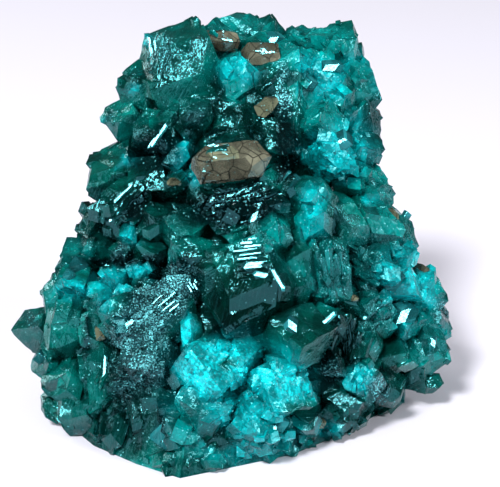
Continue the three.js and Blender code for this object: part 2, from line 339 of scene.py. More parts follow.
LOWER_ZONES: tuple[Zone, ...] = (
    Zone(SEA, 15.6, -3.2, 3.6, 3.6),
    Zone(CYAN, 17.0, -8.6, 2.8, 4.2, 0, 0.6),
    Zone(INK, -5.4, -2.6, 3.6, 1.7, 20),
    Zone(FIBRE, 12.0, -1.8, 3.0, 3.2),
    Zone(TEAL, 15.0, -1.0, 1.6, 2.2),
    Zone(NIGHT, -11.0, -2.0, 6.0, 0.7),
    Zone(INK, 0.0, -5.7, 4.8, 4.6),
    Zone(NIGHT, -1.5, -8.9, 2.8, 1.0),
    Zone(BOTTLE, -3.4, -1.9, 1.8, 1.3),
    Zone(FIBRE, 8.2, -2.7, 2.0, 3.2),
    *Comb(Zone(PALE, 0.1, -0.6, 1.5, 0.08, 2), 6, 0.4).zones(),
    Zone(PALE, 0.6, -2.5, 1.3, 0.3, 2),
    Zone(PALE, 1.1, -3.4, 0.8, 0.22, -14),
    Zone(PALE, 2.7, -3.7, 1.2, 0.13, -60),
    Zone(PALE, 7.7, -7.9, 1.3, 0.14, 45, 0.9),
    Zone(DEEP, 9.5, -9.6, 2.0, 3.5),
    Zone(BOTTLE, 4.8, -9.5, 3.8, 2.7),
    Zone(PALE, 4.4, -8.3, 0.4, 0.85, 0, 1.0, 0.1),
    Zone(SEA, -17.0, -5.2, 4.0, 1.6),
    Zone(CYAN, -17.5, -4.7, 1.6, 1.0),
    Zone(CYAN, -13.6, -3.8, 1.6, 1.1),
    Zone(CYAN, -14.6, -5.9, 0.5, 1.2),
    Zone(CYAN, -11.0, -2.9, 1.6, 0.7),
    Zone(TEAL, -18.4, -8.2, 2.4, 2.6),
    Zone(TEAL, -22.0, -8.4, 1.8, 2.4),
    Zone(GREY, -21.8, -7.6, 1.0, 0.8, -30),
    Zone(PALE, -20.6, -11.3, 0.4, 0.5),
    Zone(BOTTLE, -17.8, -15.5, 3.2, 5.2, 0, 0.8),
    Zone(TEAL, -18.6, -13.0, 1.8, 1.6),
    Zone(TEAL, -16.8, -18.0, 1.6, 1.4),
    Zone(DEEP, -12.5, -16.0, 3.4, 5.4),
    Zone(GLITTER, -12.4, -13.4, 2.0, 2.6, 0, 0.7),
    Zone(GLITTER, -9.6, -6.3, 5.8, 2.6, 40),
    Zone(LILAC, -11.6, -7.4, 2.3, 1.1, 50),
    Zone(PALE, -11.5, -7.5, 1.8, 0.55, 52),
    *Comb(Zone(PALE, -8.2, -6.0, 1.6, 0.07, 42), 4, 0.5).zones(),
    Zone(PALE, -9.4, -7.9, 1.3, 0.09, 42, 0.8),
    *Comb(Zone(PALE, -5.8, -4.2, 0.6, 0.07, -60), 4, 0.3).zones(),
    Zone(LILAC, -10.0, -11.6, 3.0, 3.3, 0, 0.85),
    Zone(NIGHT, -7.2, -11.2, 0.7, 2.6),
    Zone(NIGHT, -16.3, -10.6, 0.45, 5.1),
    Zone(PALE, -14.4, -12.7, 0.11, 1.5, 0, 0.8),
    Zone(NIGHT, -8.5, -17.9, 1.1, 2.8),
    Zone(CYAN, -0.6, -15.9, 7.2, 6.0, 0, 0.7),
    Zone(SUGAR, -2.8, -12.5, 4.3, 2.9),
    Zone(SUGAR, -6.2, -8.8, 0.75, 1.7),
    Zone(SUGAR, 4.4, -14.2, 2.2, 1.8, 0, 0.9),
    Zone(SUGAR, -0.5, -16.8, 2.6, 1.2, 20, 0.6),
    Zone(TEAL, -2.2, -12.1, 0.9, 0.8),
    Zone(SEA, -6.2, -18.4, 2.0, 3.0, 0, 0.8),
    Zone(PALE, -7.6, -18.7, 0.8, 1.2, 0, 0.9),
    Zone(PALE, 2.7, -18.4, 0.8, 0.5),
    Zone(DEEP, -3.3, -19.4, 1.6, 1.3),
    Zone(TEAL, 5.5, -16.6, 2.2, 1.2),
    Zone(GLITTER, 7.9, -12.4, 1.2, 1.8),
    Zone(NIGHT, 7.7, -16.2, 0.9, 1.1),
    Zone(CYAN, 10.9, -13.7, 1.7, 1.3),
    Zone(GLITTER, 13.0, -14.5, 1.1, 1.7),
    Zone(CYAN, 15.3, -4.2, 1.6, 1.9),
    Zone(PALE, 13.9, -4.0, 0.9, 0.8),
    Zone(FIBRE, 12.6, -7.0, 2.0, 1.6, 30),
    Zone(PALE, 12.4, -6.9, 1.3, 0.12, 38, 0.9),
    Zone(PALE, 15.4, -7.5, 1.2, 0.6, 10),
    Zone(LILAC, 19.1, -6.9, 0.8, 1.3),
    Zone(PALE, 18.3, -9.9, 0.35, 0.8, 0, 0.8),
    Zone(BOTTLE, 14.5, -11.4, 1.2, 2.4),
    Zone(TEAL, 17.4, -12.0, 2.2, 3.2),
    Zone(DEEP, 9.0, -17.6, 4.0, 1.8, 25),
    Zone(CYAN, 7.8, -18.6, 1.2, 0.8),
    Zone(INK, 9.0, -9.2, 2.4, 2.6, 0, 0.7),
    Zone(TEAL, -17.0, -14.6, 2.8, 3.4, 0, 0.7),
    Zone(CYAN, 15.6, -3.0, 3.0, 3.2, 0, 0.8),
    Zone(SEA, 17.6, -9.6, 1.8, 3.2, 0, 0.8),
    Zone(SEA, 14.6, 3.4, 2.6, 3.4, 0, 0.7),
    Zone(INK, 0.6, -5.8, 3.8, 2.6, 0, 0.8),
    Zone(OCHRE, 15.9, -15.6, 2.1, 0.5, 35, 0.8),
    Zone(DEEP, 16.4, -15.2, 2.6, 2.6, 0, 0.6),
    Zone(DEEP, -15.4, -19.4, 3.4, 1.9, 0, 0.7),
    Zone(SUGAR, 15.4, -4.0, 1.8, 2.0, 0, 0.5),
    Zone(OCHRE, -15.0, -8.9, 0.5, 0.8),
    Zone(OCHRE, 6.9, -18.0, 0.9, 0.5),
    Zone(OCHRE, 10.4, -5.4, 0.4, 0.4),
    Zone(TAN, 17.1, -2.5, 0.7, 0.6),
)


@dataclass(frozen=True)
class ToneMap:
    """Spreads the tones over the lump: zones on the display side, soft clouds elsewhere."""

    zones: tuple[Zone, ...] = UPPER_ZONES + LOWER_ZONES
    fade_start: float = -15.0
    fade_end: float = -10.0
    cloud_size: float = 5.0
    clouds: tuple[tuple[Tone, float, float], ...] = ((TEAL, 2.2, 0.5), (SEA, 3.0, 1.9), (CYAN, 5.0, 2.9))
    wander: float = 0.35
    wander_size: float = 1.6
    swell_size: float = 1.1
    cloud_start: int = 1
    fleck_start: int = 4
    wander_starts: tuple[int, int] = (7, 9)
    swell_starts: tuple[int, int, int] = (11, 17, 23)
    waves: int = 5
    turn_step: float = 2.4
    tilt_step: float = 1.7
    pace_step: float = 0.43
    widest: float = 2.2
    phase: float = 3.1
    fading: float = 0.35
    highest: float = 2.4

    def _waves(self, points: np.ndarray, size: float, start: int) -> np.ndarray:
        """Gives a smooth irregular field between about -1 and 1.

        Args:
            points: Rows of places in millimetres.
            size: Typical width of a swell in millimetres.
            start: Number that picks another field.

        Returns:
            One value for each row.
        """
        total = np.zeros(len(points))
        for wave in range(self.waves):
            turn = start + self.turn_step * wave
            tilt = self.tilt_step * wave
            heading = (math.cos(turn), math.sin(turn) * math.cos(tilt), math.sin(tilt + turn))
            pace = (1.0 + self.pace_step * wave) * 2.0 * math.pi / (self.widest * size)
            swing = np.sin(points @ np.array(heading) * pace + turn * self.phase)
            total += swing / (1.0 + self.fading * wave)
        return total / self.highest

    def swell(self, points: np.ndarray) -> np.ndarray:
        """Gives rows of x, y, z between about -1 and 1 that make faces gently uneven."""
        place = points / MM
        fields = [self._waves(place, self.swell_size, start) for start in self.swell_starts]
        return np.column_stack(fields)

    def rows(self, points: np.ndarray) -> np.ndarray:
        """Gives the look of the surface at some points.

        Args:
            points: Rows of x, y, z in metres.

        Returns:
            Rows of red, green, blue and the five amounts.
        """
        seen = DISPLAY.seen(points)
        place = points / MM
        cloud = 0.5 + 0.5 * self._waves(place, self.cloud_size, self.cloud_start)
        fleck = 0.5 + 0.5 * self._waves(place, self.cloud_size / 2.0, self.fleck_start)
        moved = seen.copy()
        for column, start in enumerate(self.wander_starts):
            moved[:, column] += self.wander * self._waves(place, self.wander_size, start)
        front = unit((seen[:, 2] - self.fade_start) / (self.fade_end - self.fade_start))
        table = np.tile(BOTTLE.value.row(), (len(points), 1))
        for amount, (tone, gain, cut) in zip((cloud, fleck, cloud * fleck), self.clouds):
            table += (tone.value.row() - table) * unit(amount * gain - cut)[:, None]
        for zone in self.zones:
            if zone.tone not in PLATE_TONES:
                table += (zone.tone.value.row() - table) * (zone.mask(moved) * front)[:, None]
        return table


def plain_mesh(work: bmesh.types.BMesh, name: str) -> Mesh:
    """Turns a work mesh into a named plain one and frees it."""
    mesh = bpy.data.meshes.new(name)
    work.to_mesh(mesh)
    work.free()
    return mesh


def flat_turn(along: Vector, normal: Vector) -> Matrix:
    """Returns the turn that lays a crystal's long axis along a surface and one side on it.

    Args:
        along: Unit direction of the long axis, at right angles to the normal.
        normal: Outward normal of the surface.

    Returns:
        The turn.
    """
    return Matrix((along.cross(normal), along, normal)).transposed().to_4x4()


def flattened(heading: Vector, normal: Vector) -> Vector:
    """Returns the unit part of a heading that lies at right angles to a normal."""
    return (heading - normal * heading.dot(normal)).normalized()


BLOCK = 0.0
TERMINATION_SLOPE = 1.23
SHORTEST_TIP = 0.75
PRISM_SIDES = 6
HALF_SIDE_ANGLE = math.radians(30.0)
SHORT_DROP = 0.5
LONG_DROP = 1.0
PLATE_TIP = 0.6
PLATE_BREAKS = 6
SEED_FACTORS = (131.0, 57.0, 23.0)
SEED_SCALE = 97.0


@dataclass(frozen=True)
class Crystal:
    """A six-sided prism with three rhombs at each end, or a block of six rhombs, in millimetres."""

    radius: float
    length: float
    place: Matrix
    flatness: float = 1.0
    breaks: int = 0
    shallowest_break: float = 0.04
    deepest_break: float = 0.13
    merged: float = 0.002
    tone: Tone | None = None

    @classmethod
    def plate(
        cls, point: Vector, normal: Vector, zone: Zone, flatness: float, lift: float, spread: float
    ) -> "Crystal":
        """Makes a crystal with one long face that lies at a point and fills a patch.

        Args:
            point: Middle of the face, in metres.
            normal: Outward normal of the face.
            zone: The patch, which gives its size, its turn and its tone.
            flatness: Thickness of the crystal over its width.
            lift: Millimetres from the point to the face.
            spread: 2 if that face alone fills the patch, 1 if it does so with its neighbour.

        Returns:
            The crystal.
        """
        half_long = max(zone.half_width, zone.half_height)
        half_short = min(zone.half_width, zone.half_height)
        angle = math.radians(zone.turn + (0.0 if zone.half_width >= zone.half_height else 90.0))
        axis = flattened(DISPLAY.turned((math.cos(angle), math.sin(angle), 0.0)), normal)
        slope = math.atan(flatness * math.tan(HALF_SIDE_ANGLE))
        radius = spread * half_short * math.cos(slope) / math.cos(HALF_SIDE_ANGLE)
        length = 2.0 * half_long + PLATE_TIP * TERMINATION_SLOPE * radius
        shift = (spread - 1.0) * half_short
        middle = point / MM + normal * (lift - radius * flatness * math.cos(slope))
        middle -= axis.cross(normal) * shift
        roll = Matrix.Rotation(-slope, 4, "Y")
        place = Matrix.Translation(middle) @ flat_turn(axis, normal) @ roll
        breaks = 0 if spread > 1.0 else PLATE_BREAKS
        return cls(radius, length, place, flatness, breaks, tone=zone.tone)

    @classmethod
    def from_row(cls, row: Row, breaks: int = 0) -> "Crystal":
        """Makes a crystal from a row of the display side.

        Args:
            row: Across, up, towards, radius, length, lean, tip, roll and maybe flatness.
            breaks: How many corners are broken off.

        Returns:
            The crystal, with its place in the part's frame.
        """
        across, up, towards, radius, length, lean, tip, roll, *rest = row
        turn = (
            Matrix.Rotation(math.radians(-lean), 4, "Z")
            @ Matrix.Rotation(math.radians(tip), 4, "X")
            @ Matrix.Rotation(math.radians(roll), 4, "Y")
        )
        place = Matrix.Translation(DISPLAY.place(across, up, towards)) @ DISPLAY.upright() @ turn
        return cls(radius, length, place, rest[0] if rest else 1.0, breaks)

    def axis(self) -> Vector:
        """Returns the direction of its long axis in the part's frame."""
        return (self.place.to_3x3() @ Vector((0.0, 1.0, 0.0))).normalized()

    def corners(self) -> list[Vector]:
        """Returns the corners in the part's frame, in metres."""
        rise = TERMINATION_SLOPE * self.radius
        tip = max(self.length / 2.0, SHORTEST_TIP * rise)
        local = [Vector((0.0, tip, 0.0)), Vector((0.0, -tip, 0.0))]
        for side in range(PRISM_SIDES):
            angle = side * 2.0 * math.pi / PRISM_SIDES
            x = self.radius * math.sin(angle)
            z = self.radius * self.flatness * math.cos(angle)
            high, low = (SHORT_DROP, LONG_DROP) if side % 2 == 0 else (LONG_DROP, SHORT_DROP)
            local.append(Vector((x, tip - rise * high, z)))
            local.append(Vector((x, -tip + rise * low, z)))
        return [(self.place @ corner) * MM for corner in local]

    def mesh(self, name: str) -> Mesh:
        """Makes the crystal's closed mesh, with flat faces that point outwards."""
        work = bmesh.new()
        for corner in self.corners():
            work.verts.new(corner)
        bmesh.ops.convex_hull(work, input=work.verts)
        self._break_corners(work)
        bmesh.ops.recalc_face_normals(work, faces=work.faces)
        if work.calc_volume(signed=True) < 0.0:
            bmesh.ops.reverse_faces(work, faces=work.faces)
        return plain_mesh(work, name)

    def _break_corners(self, work: bmesh.types.BMesh) -> None:
        """Breaks corners off a work mesh of the crystal along planes that lie at chance angles."""
        mixed = sum(value * factor for value, factor in zip(self.place.translation, SEED_FACTORS))
        rng = np.random.default_rng(int(abs(mixed) * SEED_SCALE))
        for _ in range(self.breaks):
            heading = Vector(rng.normal(size=3)).normalized()
            spans = [vertex.co.dot(heading) for vertex in work.verts]
            depth = (max(spans) - min(spans)) * rng.uniform(self.shallowest_break, self.deepest_break)
            bmesh.ops.bisect_plane(
                work,
                geom=[*work.verts, *work.edges, *work.faces],
                plane_co=heading * (max(spans) - depth),
                plane_no=heading,
                clear_outer=True,
            )
        if self.breaks:
            left = [vertex.co.copy() for vertex in work.verts]
            work.clear()
            for corner in left:
                work.verts.new(corner)
            bmesh.ops.remove_doubles(work, verts=work.verts, dist=self.merged * MM)
            bmesh.ops.convex_hull(work, input=work.verts)


# Each corner is across and towards.
FOOT_OUTLINE: tuple[Span, ...] = (
    (-7.0, 8.2),
    (4.2, 3.6),
    (9.4, -0.8),
    (14.4, -7.0),
    (13.4, -13.0),
    (4.0, -17.4),
    (-8.0, -17.0),
    (-16.2, -11.0),
    (-18.6, -3.4),
    (-15.6, 1.8),
    (-11.4, 5.4),
)


@dataclass(frozen=True)
class Foot:
    """The solid foot on the flat cut: its outline below and a smaller copy of it above."""

    place: Matrix = field(default_factory=Matrix)
    tone: Tone | None = None
    height: float = 6.0
    taper: float = 0.84
    fringe_pitch: float = 2.7
    fringe_radius: Span = (1.1, 2.1)
    fringe_rises: tuple[Span, ...] = ((0.8, 2.0), (2.8, 5.4))
    fringe_spot: Span = (0.1, 0.9)
    fringe_turn: float = 3.0
    fringe_length: Span = (2.0, 3.4)
    fringe_breaks: int = 5
    sink: float = 1.05
    lean: float = 0.35
    seed: int = 31
    outline: tuple[Span, ...] = FOOT_OUTLINE

    def axis(self) -> Vector:
        """Returns the upright direction."""
        return Vector((0.0, 0.0, 1.0))

    def rim(self) -> list[Vector]:
        """Returns the corners of the flat cut in millimetres."""
        centre = Vector(DISPLAY.centre)
        tilt = math.radians(DISPLAY.elevation)
        made = []
        for across, towards in self.outline:
            front = -centre.z * math.tan(tilt) - towards / math.cos(tilt)
            made.append(Vector((across * DISPLAY.nearness(towards) + centre.x, front + centre.y, 0.0)))
        return made

    def fringe(self) -> list[Crystal]:
        """Lays broken crystals of chance turns along the foot's sides."""
        rng = np.random.default_rng(self.seed)
        rim = self.rim()
        middle = sum(rim, Vector()) / len(rim)
        made = []
        for start, end in zip(rim, rim[1:] + rim[:1]):
            steps = max(1, round((end - start).length / self.fringe_pitch))
            for step in range(steps):
                for rises in self.fringe_rises:
                    radius = rng.uniform(*self.fringe_radius)
                    spot = start.lerp(end, (step + rng.uniform(*self.fringe_spot)) / steps)
                    rise = rng.uniform(*rises)
                    inwards = (middle - spot).normalized() * (radius * self.sink + self.lean * rise)
                    turns = rng.uniform(-self.fringe_turn, self.fringe_turn, size=3)
                    place = Matrix.Translation(spot + inwards + Vector((0.0, 0.0, rise)))
                    place = place @ Euler(turns).to_matrix().to_4x4()
                    length = radius * rng.uniform(*self.fringe_length)
                    made.append(Crystal(radius, length, place, 1.0, self.fringe_breaks))
        return made

    def mesh(self, name: str) -> Mesh:
        """Makes the foot's closed mesh."""
        work = bmesh.new()
        centre = Vector(DISPLAY.centre)
        for low in self.rim():
            high = centre + (low - centre) * self.taper
            work.verts.new(low * MM)
            work.verts.new(Vector((high.x, high.y, self.height)) * MM)
        bmesh.ops.convex_hull(work, input=work.verts)
        bmesh.ops.recalc_face_normals(work, faces=work.faces)
        return plain_mesh(work, name)


Solid = Crystal | Foot


def search_tree(mesh: Mesh) -> BVHTree:
    """Prepares the search for the nearest face or the first face hit of a mesh."""
    corners = [vertex.co.copy() for vertex in mesh.vertices]
    return BVHTree.FromPolygons(corners, [tuple(face.vertices) for face in mesh.polygons])


@dataclass(frozen=True)
class Surface:
    """A solid's surface that can be looked for from the viewer's side."""

    tree: BVHTree

    def hit(self, across: float, up: float) -> tuple[Vector, Vector] | None:
        """Finds what is seen at a place of the display side.

        Args:
            across: Millimetres to the right of the middle.
            up: Millimetres above the middle.

        Returns:
            The point and its outward normal in metres, or None past the outline.
        """
        eye = DISPLAY.eye()
        aim = DISPLAY.place(across, up, 0.0) * MM - eye
        point, normal, _, _ = self.tree.ray_cast(eye, aim.normalized())
        return None if point is None else (point, normal)


@dataclass(frozen=True)
class Sheaf:
    """Parallel thin prisms side by side on the surface, which show as ribs and growth lines."""

    across: float
    up: float
    width: float
    length: float
    count: int
    radius: float
    lean: float
    seed: int = 1
    slide: float = 0.15
    fan: float = 4.0
    roll: float = 28.0
    radii: Span = (0.75, 1.3)
    sinks: Span = (0.1, 0.6)
    lengths: Span = (0.65, 1.1)
    flatness: float = 0.8

    def crystals(self, surface: Surface) -> list[Crystal]:
        """Lays the prisms on the surface.

        Args:
            surface: The surface of the large crystals.

        Returns:
            The prisms, sunk into it by most of their thickness.
        """
        rng = np.random.default_rng(self.seed)
        lean = math.radians(self.lean)
        along = Vector((math.sin(lean), math.cos(lean), 0.0))
        beside = Vector((math.cos(lean), -math.sin(lean), 0.0))
        middle = surface.hit(self.across, self.up)
        if middle is None:
            return []
        made = []
        for index in range(self.count):
            offset = ((index + 0.5) / self.count - 0.5) * self.width
            shift = rng.uniform(-self.slide, self.slide) * self.length
            across = self.across + beside.x * offset + along.x * shift
            up = self.up + beside.y * offset + along.y * shift
            found = surface.hit(across, up)
            if found is None:
                continue
            point, normal = found
            normal = (normal + middle[1]).normalized()
            axis = flattened(DISPLAY.turned(along), normal)
            fan = Matrix.Rotation(math.radians(rng.uniform(-self.fan, self.fan)), 3, normal)
            turn = flat_turn(fan @ axis, normal)
            roll = Matrix.Rotation(math.radians(rng.uniform(-self.roll, self.roll)), 4, "Y")
            radius = self.radius * rng.uniform(*self.radii)
            sunk = point / MM - normal * radius * rng.uniform(*self.sinks)
            place = Matrix.Translation(sunk) @ turn @ roll
            made.append(Crystal(radius, self.length * rng.uniform(*self.lengths), place, self.flatness))
        return made


SHEAVES: tuple[Sheaf, ...] = (
    Sheaf(-12.3, 3.8, 3.6, 4.6, 10, 0.32, 45.0, 3),
    Sheaf(-0.2, 3.9, 4.4, 7.0, 17, 0.3, 74.0, 4),
    Sheaf(-9.8, -6.0, 4.8, 5.5, 14, 0.34, 50.0, 5),
    Sheaf(-11.6, -7.4, 2.4, 4.0, 6, 0.4, 42.0, 6),
    Sheaf(0.5, -1.8, 3.7, 3.8, 12, 0.2, 92.0, 7),
    Sheaf(12.0, -1.4, 5.2, 6.0, 13, 0.32, -35.0, 8),
    Sheaf(8.2, -2.7, 3.0, 5.5, 8, 0.34, -14.0, 9),
    Sheaf(-8.9, 18.9, 2.2, 4.6, 8, 0.2, 12.0, 10),
    Sheaf(12.6, -7.0, 2.8, 3.8, 8, 0.26, 50.0, 11),
    Sheaf(-7.6, -18.7, 1.6, 2.6, 6, 0.18, -5.0, 12),
    Sheaf(10.9, -13.7, 2.6, 3.0, 6, 0.3, 20.0, 13),
    Sheaf(-14.4, -12.7, 0.8, 5.0, 3, 0.24, 2.0, 14),
    Sheaf(9.6, -9.8, 2.6, 5.0, 7, 0.34, 14.0, 15),
)


@dataclass(frozen=True)
class Plates:
    """Flat crystal faces of their own tone, the glint ones turned to mirror the main light and given a
    little painted highlight in their colour.
    """

    light: Triple = (-0.3, -0.62, 0.72)
    thin: float = 0.35
    lift: float = 0.32
    narrow_lift: float = 0.24
    flatness: float = 0.45

    def crystals(self, surface: Surface, zones: tuple[Zone, ...]) -> list[Crystal]:
        """Lays a crystal with one broad face on each patch of a plate's tone.

        Args:
            surface: The surface of the large crystals.
            zones: The patches of the display side.

        Returns:
            The crystals.
        """
        made = []
        for zone in zones:
            found = surface.hit(zone.across, zone.up)
            if zone.tone not in PLATE_TONES or found is None:
                continue
            point, outward = found
            mirrors = zone.tone is PALE
            to_eye = (DISPLAY.eye() - point).normalized()
            facing = (to_eye + (Vector(self.light).normalized() if mirrors else outward)).normalized()
            narrow = min(zone.half_width, zone.half_height) < self.thin
            flatness, lift = (1.0, self.narrow_lift) if narrow else (self.flatness, self.lift)
            made.append(Crystal.plate(point, facing, zone, flatness, lift, 2.0 if mirrors else 1.0))
        return made


def node_tree(name: str, kind: str, inputs: dict[str, str], outputs: dict[str, str]) -> Tree:
    """Starts a node group.

    Args:
        name: Name of the group.
        kind: Geometry or Shader.
        inputs: Kinds of its inputs by name.
        outputs: Kinds of its outputs by name.

    Returns:
        The group, with its input and output nodes.
    """
    tree = bpy.data.node_groups.new(name, kind + "NodeTree")
    for way, sockets in (("INPUT", inputs), ("OUTPUT", outputs)):
        for label, socket in sockets.items():
            tree.interface.new_socket(label, in_out=way, socket_type="NodeSocket" + socket)
    tree.nodes.new("NodeGroupInput")
    tree.nodes.new("NodeGroupOutput")
    return tree


def geometry_tree(name: str, inputs: dict[str, str]) -> Tree:
    """Starts a geometry node tree with a geometry, a material and other inputs."""
    inputs = {"Geometry": "Geometry", **inputs, "Material": "Material"}
    return node_tree(name, "Geometry", inputs, {"Geometry": "Geometry"})


def wired(
    tree: Tree, kind: str, inputs: dict[str | int, object], output: str | int = 0, **settings: object
) -> Socket:
    """Adds a node to a tree, sets it up and feeds it.

    Args:
        tree: The tree.
        kind: The node's type.
        inputs: A socket or a value for each of its inputs, by name or number.
        output: Name or number of the output wanted.
        settings: The node's own settings.

    Returns:
        That output.
    """
    node = tree.nodes.new(kind)
    for name, value in settings.items():
        setattr(node, name, value)
    for place, value in inputs.items():
        if isinstance(value, Socket):
            tree.links.new(value, node.inputs[place])
        else:
            node.inputs[place].default_value = value
    return node.outputs[output]


def math_node(tree: Tree, operation: str, *values: Socket | float) -> Socket:
    """Adds a math node that works on sockets or numbers."""
    return wired(tree, "ShaderNodeMath", dict(enumerate(values)), operation=operation)


def scaled(tree: Tree, vector: Socket, factor: Socket | float) -> Socket:
    """Adds a node that makes a vector longer or shorter."""
    return wired(tree, "ShaderNodeVectorMath", {0: vector, "Scale": factor}, operation="SCALE")


def united(tree: Tree, solids: Socket) -> Socket:
    """Adds a node that joins closed meshes in one."""
    settings = {"operation": "UNION", "solver": "MANIFOLD"}
    return wired(tree, "GeometryNodeMeshBoolean", {"Mesh": solids}, "Mesh", **settings)


def named_field(tree: Tree, name: str, kind: str = "FLOAT") -> Socket:
    """Adds a node that reads a named attribute in a geometry node tree."""
    return wired(tree, "GeometryNodeInputNamedAttribute", {"Name": name}, "Attribute", data_type=kind)


def finish_tree(tree: Tree, result: Socket) -> None:
    """Ends a geometry node tree with plain meshes and their material."""
    plain = wired(tree, "GeometryNodeRealizeInstances", {0: result})
    material = tree.nodes["Group Input"].outputs["Material"]
    dressed = wired(tree, "GeometryNodeSetMaterial", {"Geometry": plain, "Material": material})
    tree.links.new(dressed, tree.nodes["Group Output"].inputs[0])


def linked(name: str, data: bpy.types.ID) -> bpy.types.Object:
    """Makes an object and puts it in the scene."""
    made = bpy.data.objects.new(name, data)
    bpy.context.scene.collection.objects.link(made)
    return made


def settled(holder: bpy.types.Object) -> Mesh:
    """Returns the plain mesh that an object's modifier makes, and removes the object."""
    graph = bpy.context.evaluated_depsgraph_get()
    graph.update()
    mesh = bpy.data.meshes.new_from_object(holder.evaluated_get(graph))
    bpy.data.objects.remove(holder)
    return mesh


def grown_mesh(base: Mesh, tree: Tree, values: dict[str, object], name: str) -> Mesh:
    """Runs a geometry node tree on a mesh.

    Args:
        base: The mesh to start from.
        tree: The tree.
        values: Values of the tree's inputs by name.
        name: Name of the result.

    Returns:
        The plain mesh that the tree makes.
    """
    holder = linked(name + ".holder", base)
    modifier = holder.modifiers.new("growth", "NODES")
    modifier.node_group = tree
    for item in tree.interface.items_tree:
        if item.in_out == "INPUT" and item.name in values:
            modifier[item.identifier] = values[item.name]
    mesh = settled(holder)
    mesh.name = name
    return mesh


class Joining(Enum):
    """What is done with two closed meshes."""

    UNION = "UNION"
    DIFFERENCE = "DIFFERENCE"


def combined(first: Mesh, second: Mesh, joining: Joining) -> Mesh:
    """Joins two closed meshes, or takes the second away from the first.

    Args:
        first: A closed mesh.
        second: Another closed mesh.
        joining: Which of the two is done.

    Returns:
        The closed result.
    """
    holder = linked("first", first)
    other = linked("second", second)
    modifier = holder.modifiers.new("combine", "BOOLEAN")
    modifier.operation = joining.value
    modifier.solver = "MANIFOLD"
    modifier.object = other
    result = settled(holder)
    bpy.data.objects.remove(other)
    return result


@dataclass(frozen=True)
class CrystalBody:
    """The large crystals joined in one closed solid."""

    crystals: list[Solid]

    def tree(self, collection: bpy.types.Collection) -> Tree:
        """Makes the tree that joins the crystals of a collection, one object for each."""
        tree = geometry_tree("Joined crystals", {})
        inputs = {"Collection": collection, "Separate Children": True}
        finish_tree(tree, united(tree, wired(tree, "GeometryNodeCollectionInfo", inputs)))
        return tree

    def mesh(self, name: str, material: Material) -> Mesh:
        """Joins the crystals.

        Args:
            name: Name of the mesh.
            material: Finish of the mesh.

        Returns:
            The joined mesh.
        """
        collection = bpy.data.collections.new(name + ".crystals")
        bpy.context.scene.collection.children.link(collection)
        made = []
        for index, crystal in enumerate(self.crystals):
            one = bpy.data.objects.new(f"{name}.{index}", crystal.mesh(f"{name}.{index}"))
            collection.objects.link(one)
            made.append(one)
        empty = bpy.data.meshes.new(name + ".seed")
        mesh = grown_mesh(empty, self.tree(collection), {"Material": material}, name)
        for one in made:
            bpy.data.objects.remove(one)
        bpy.data.collections.remove(collection)
        return mesh


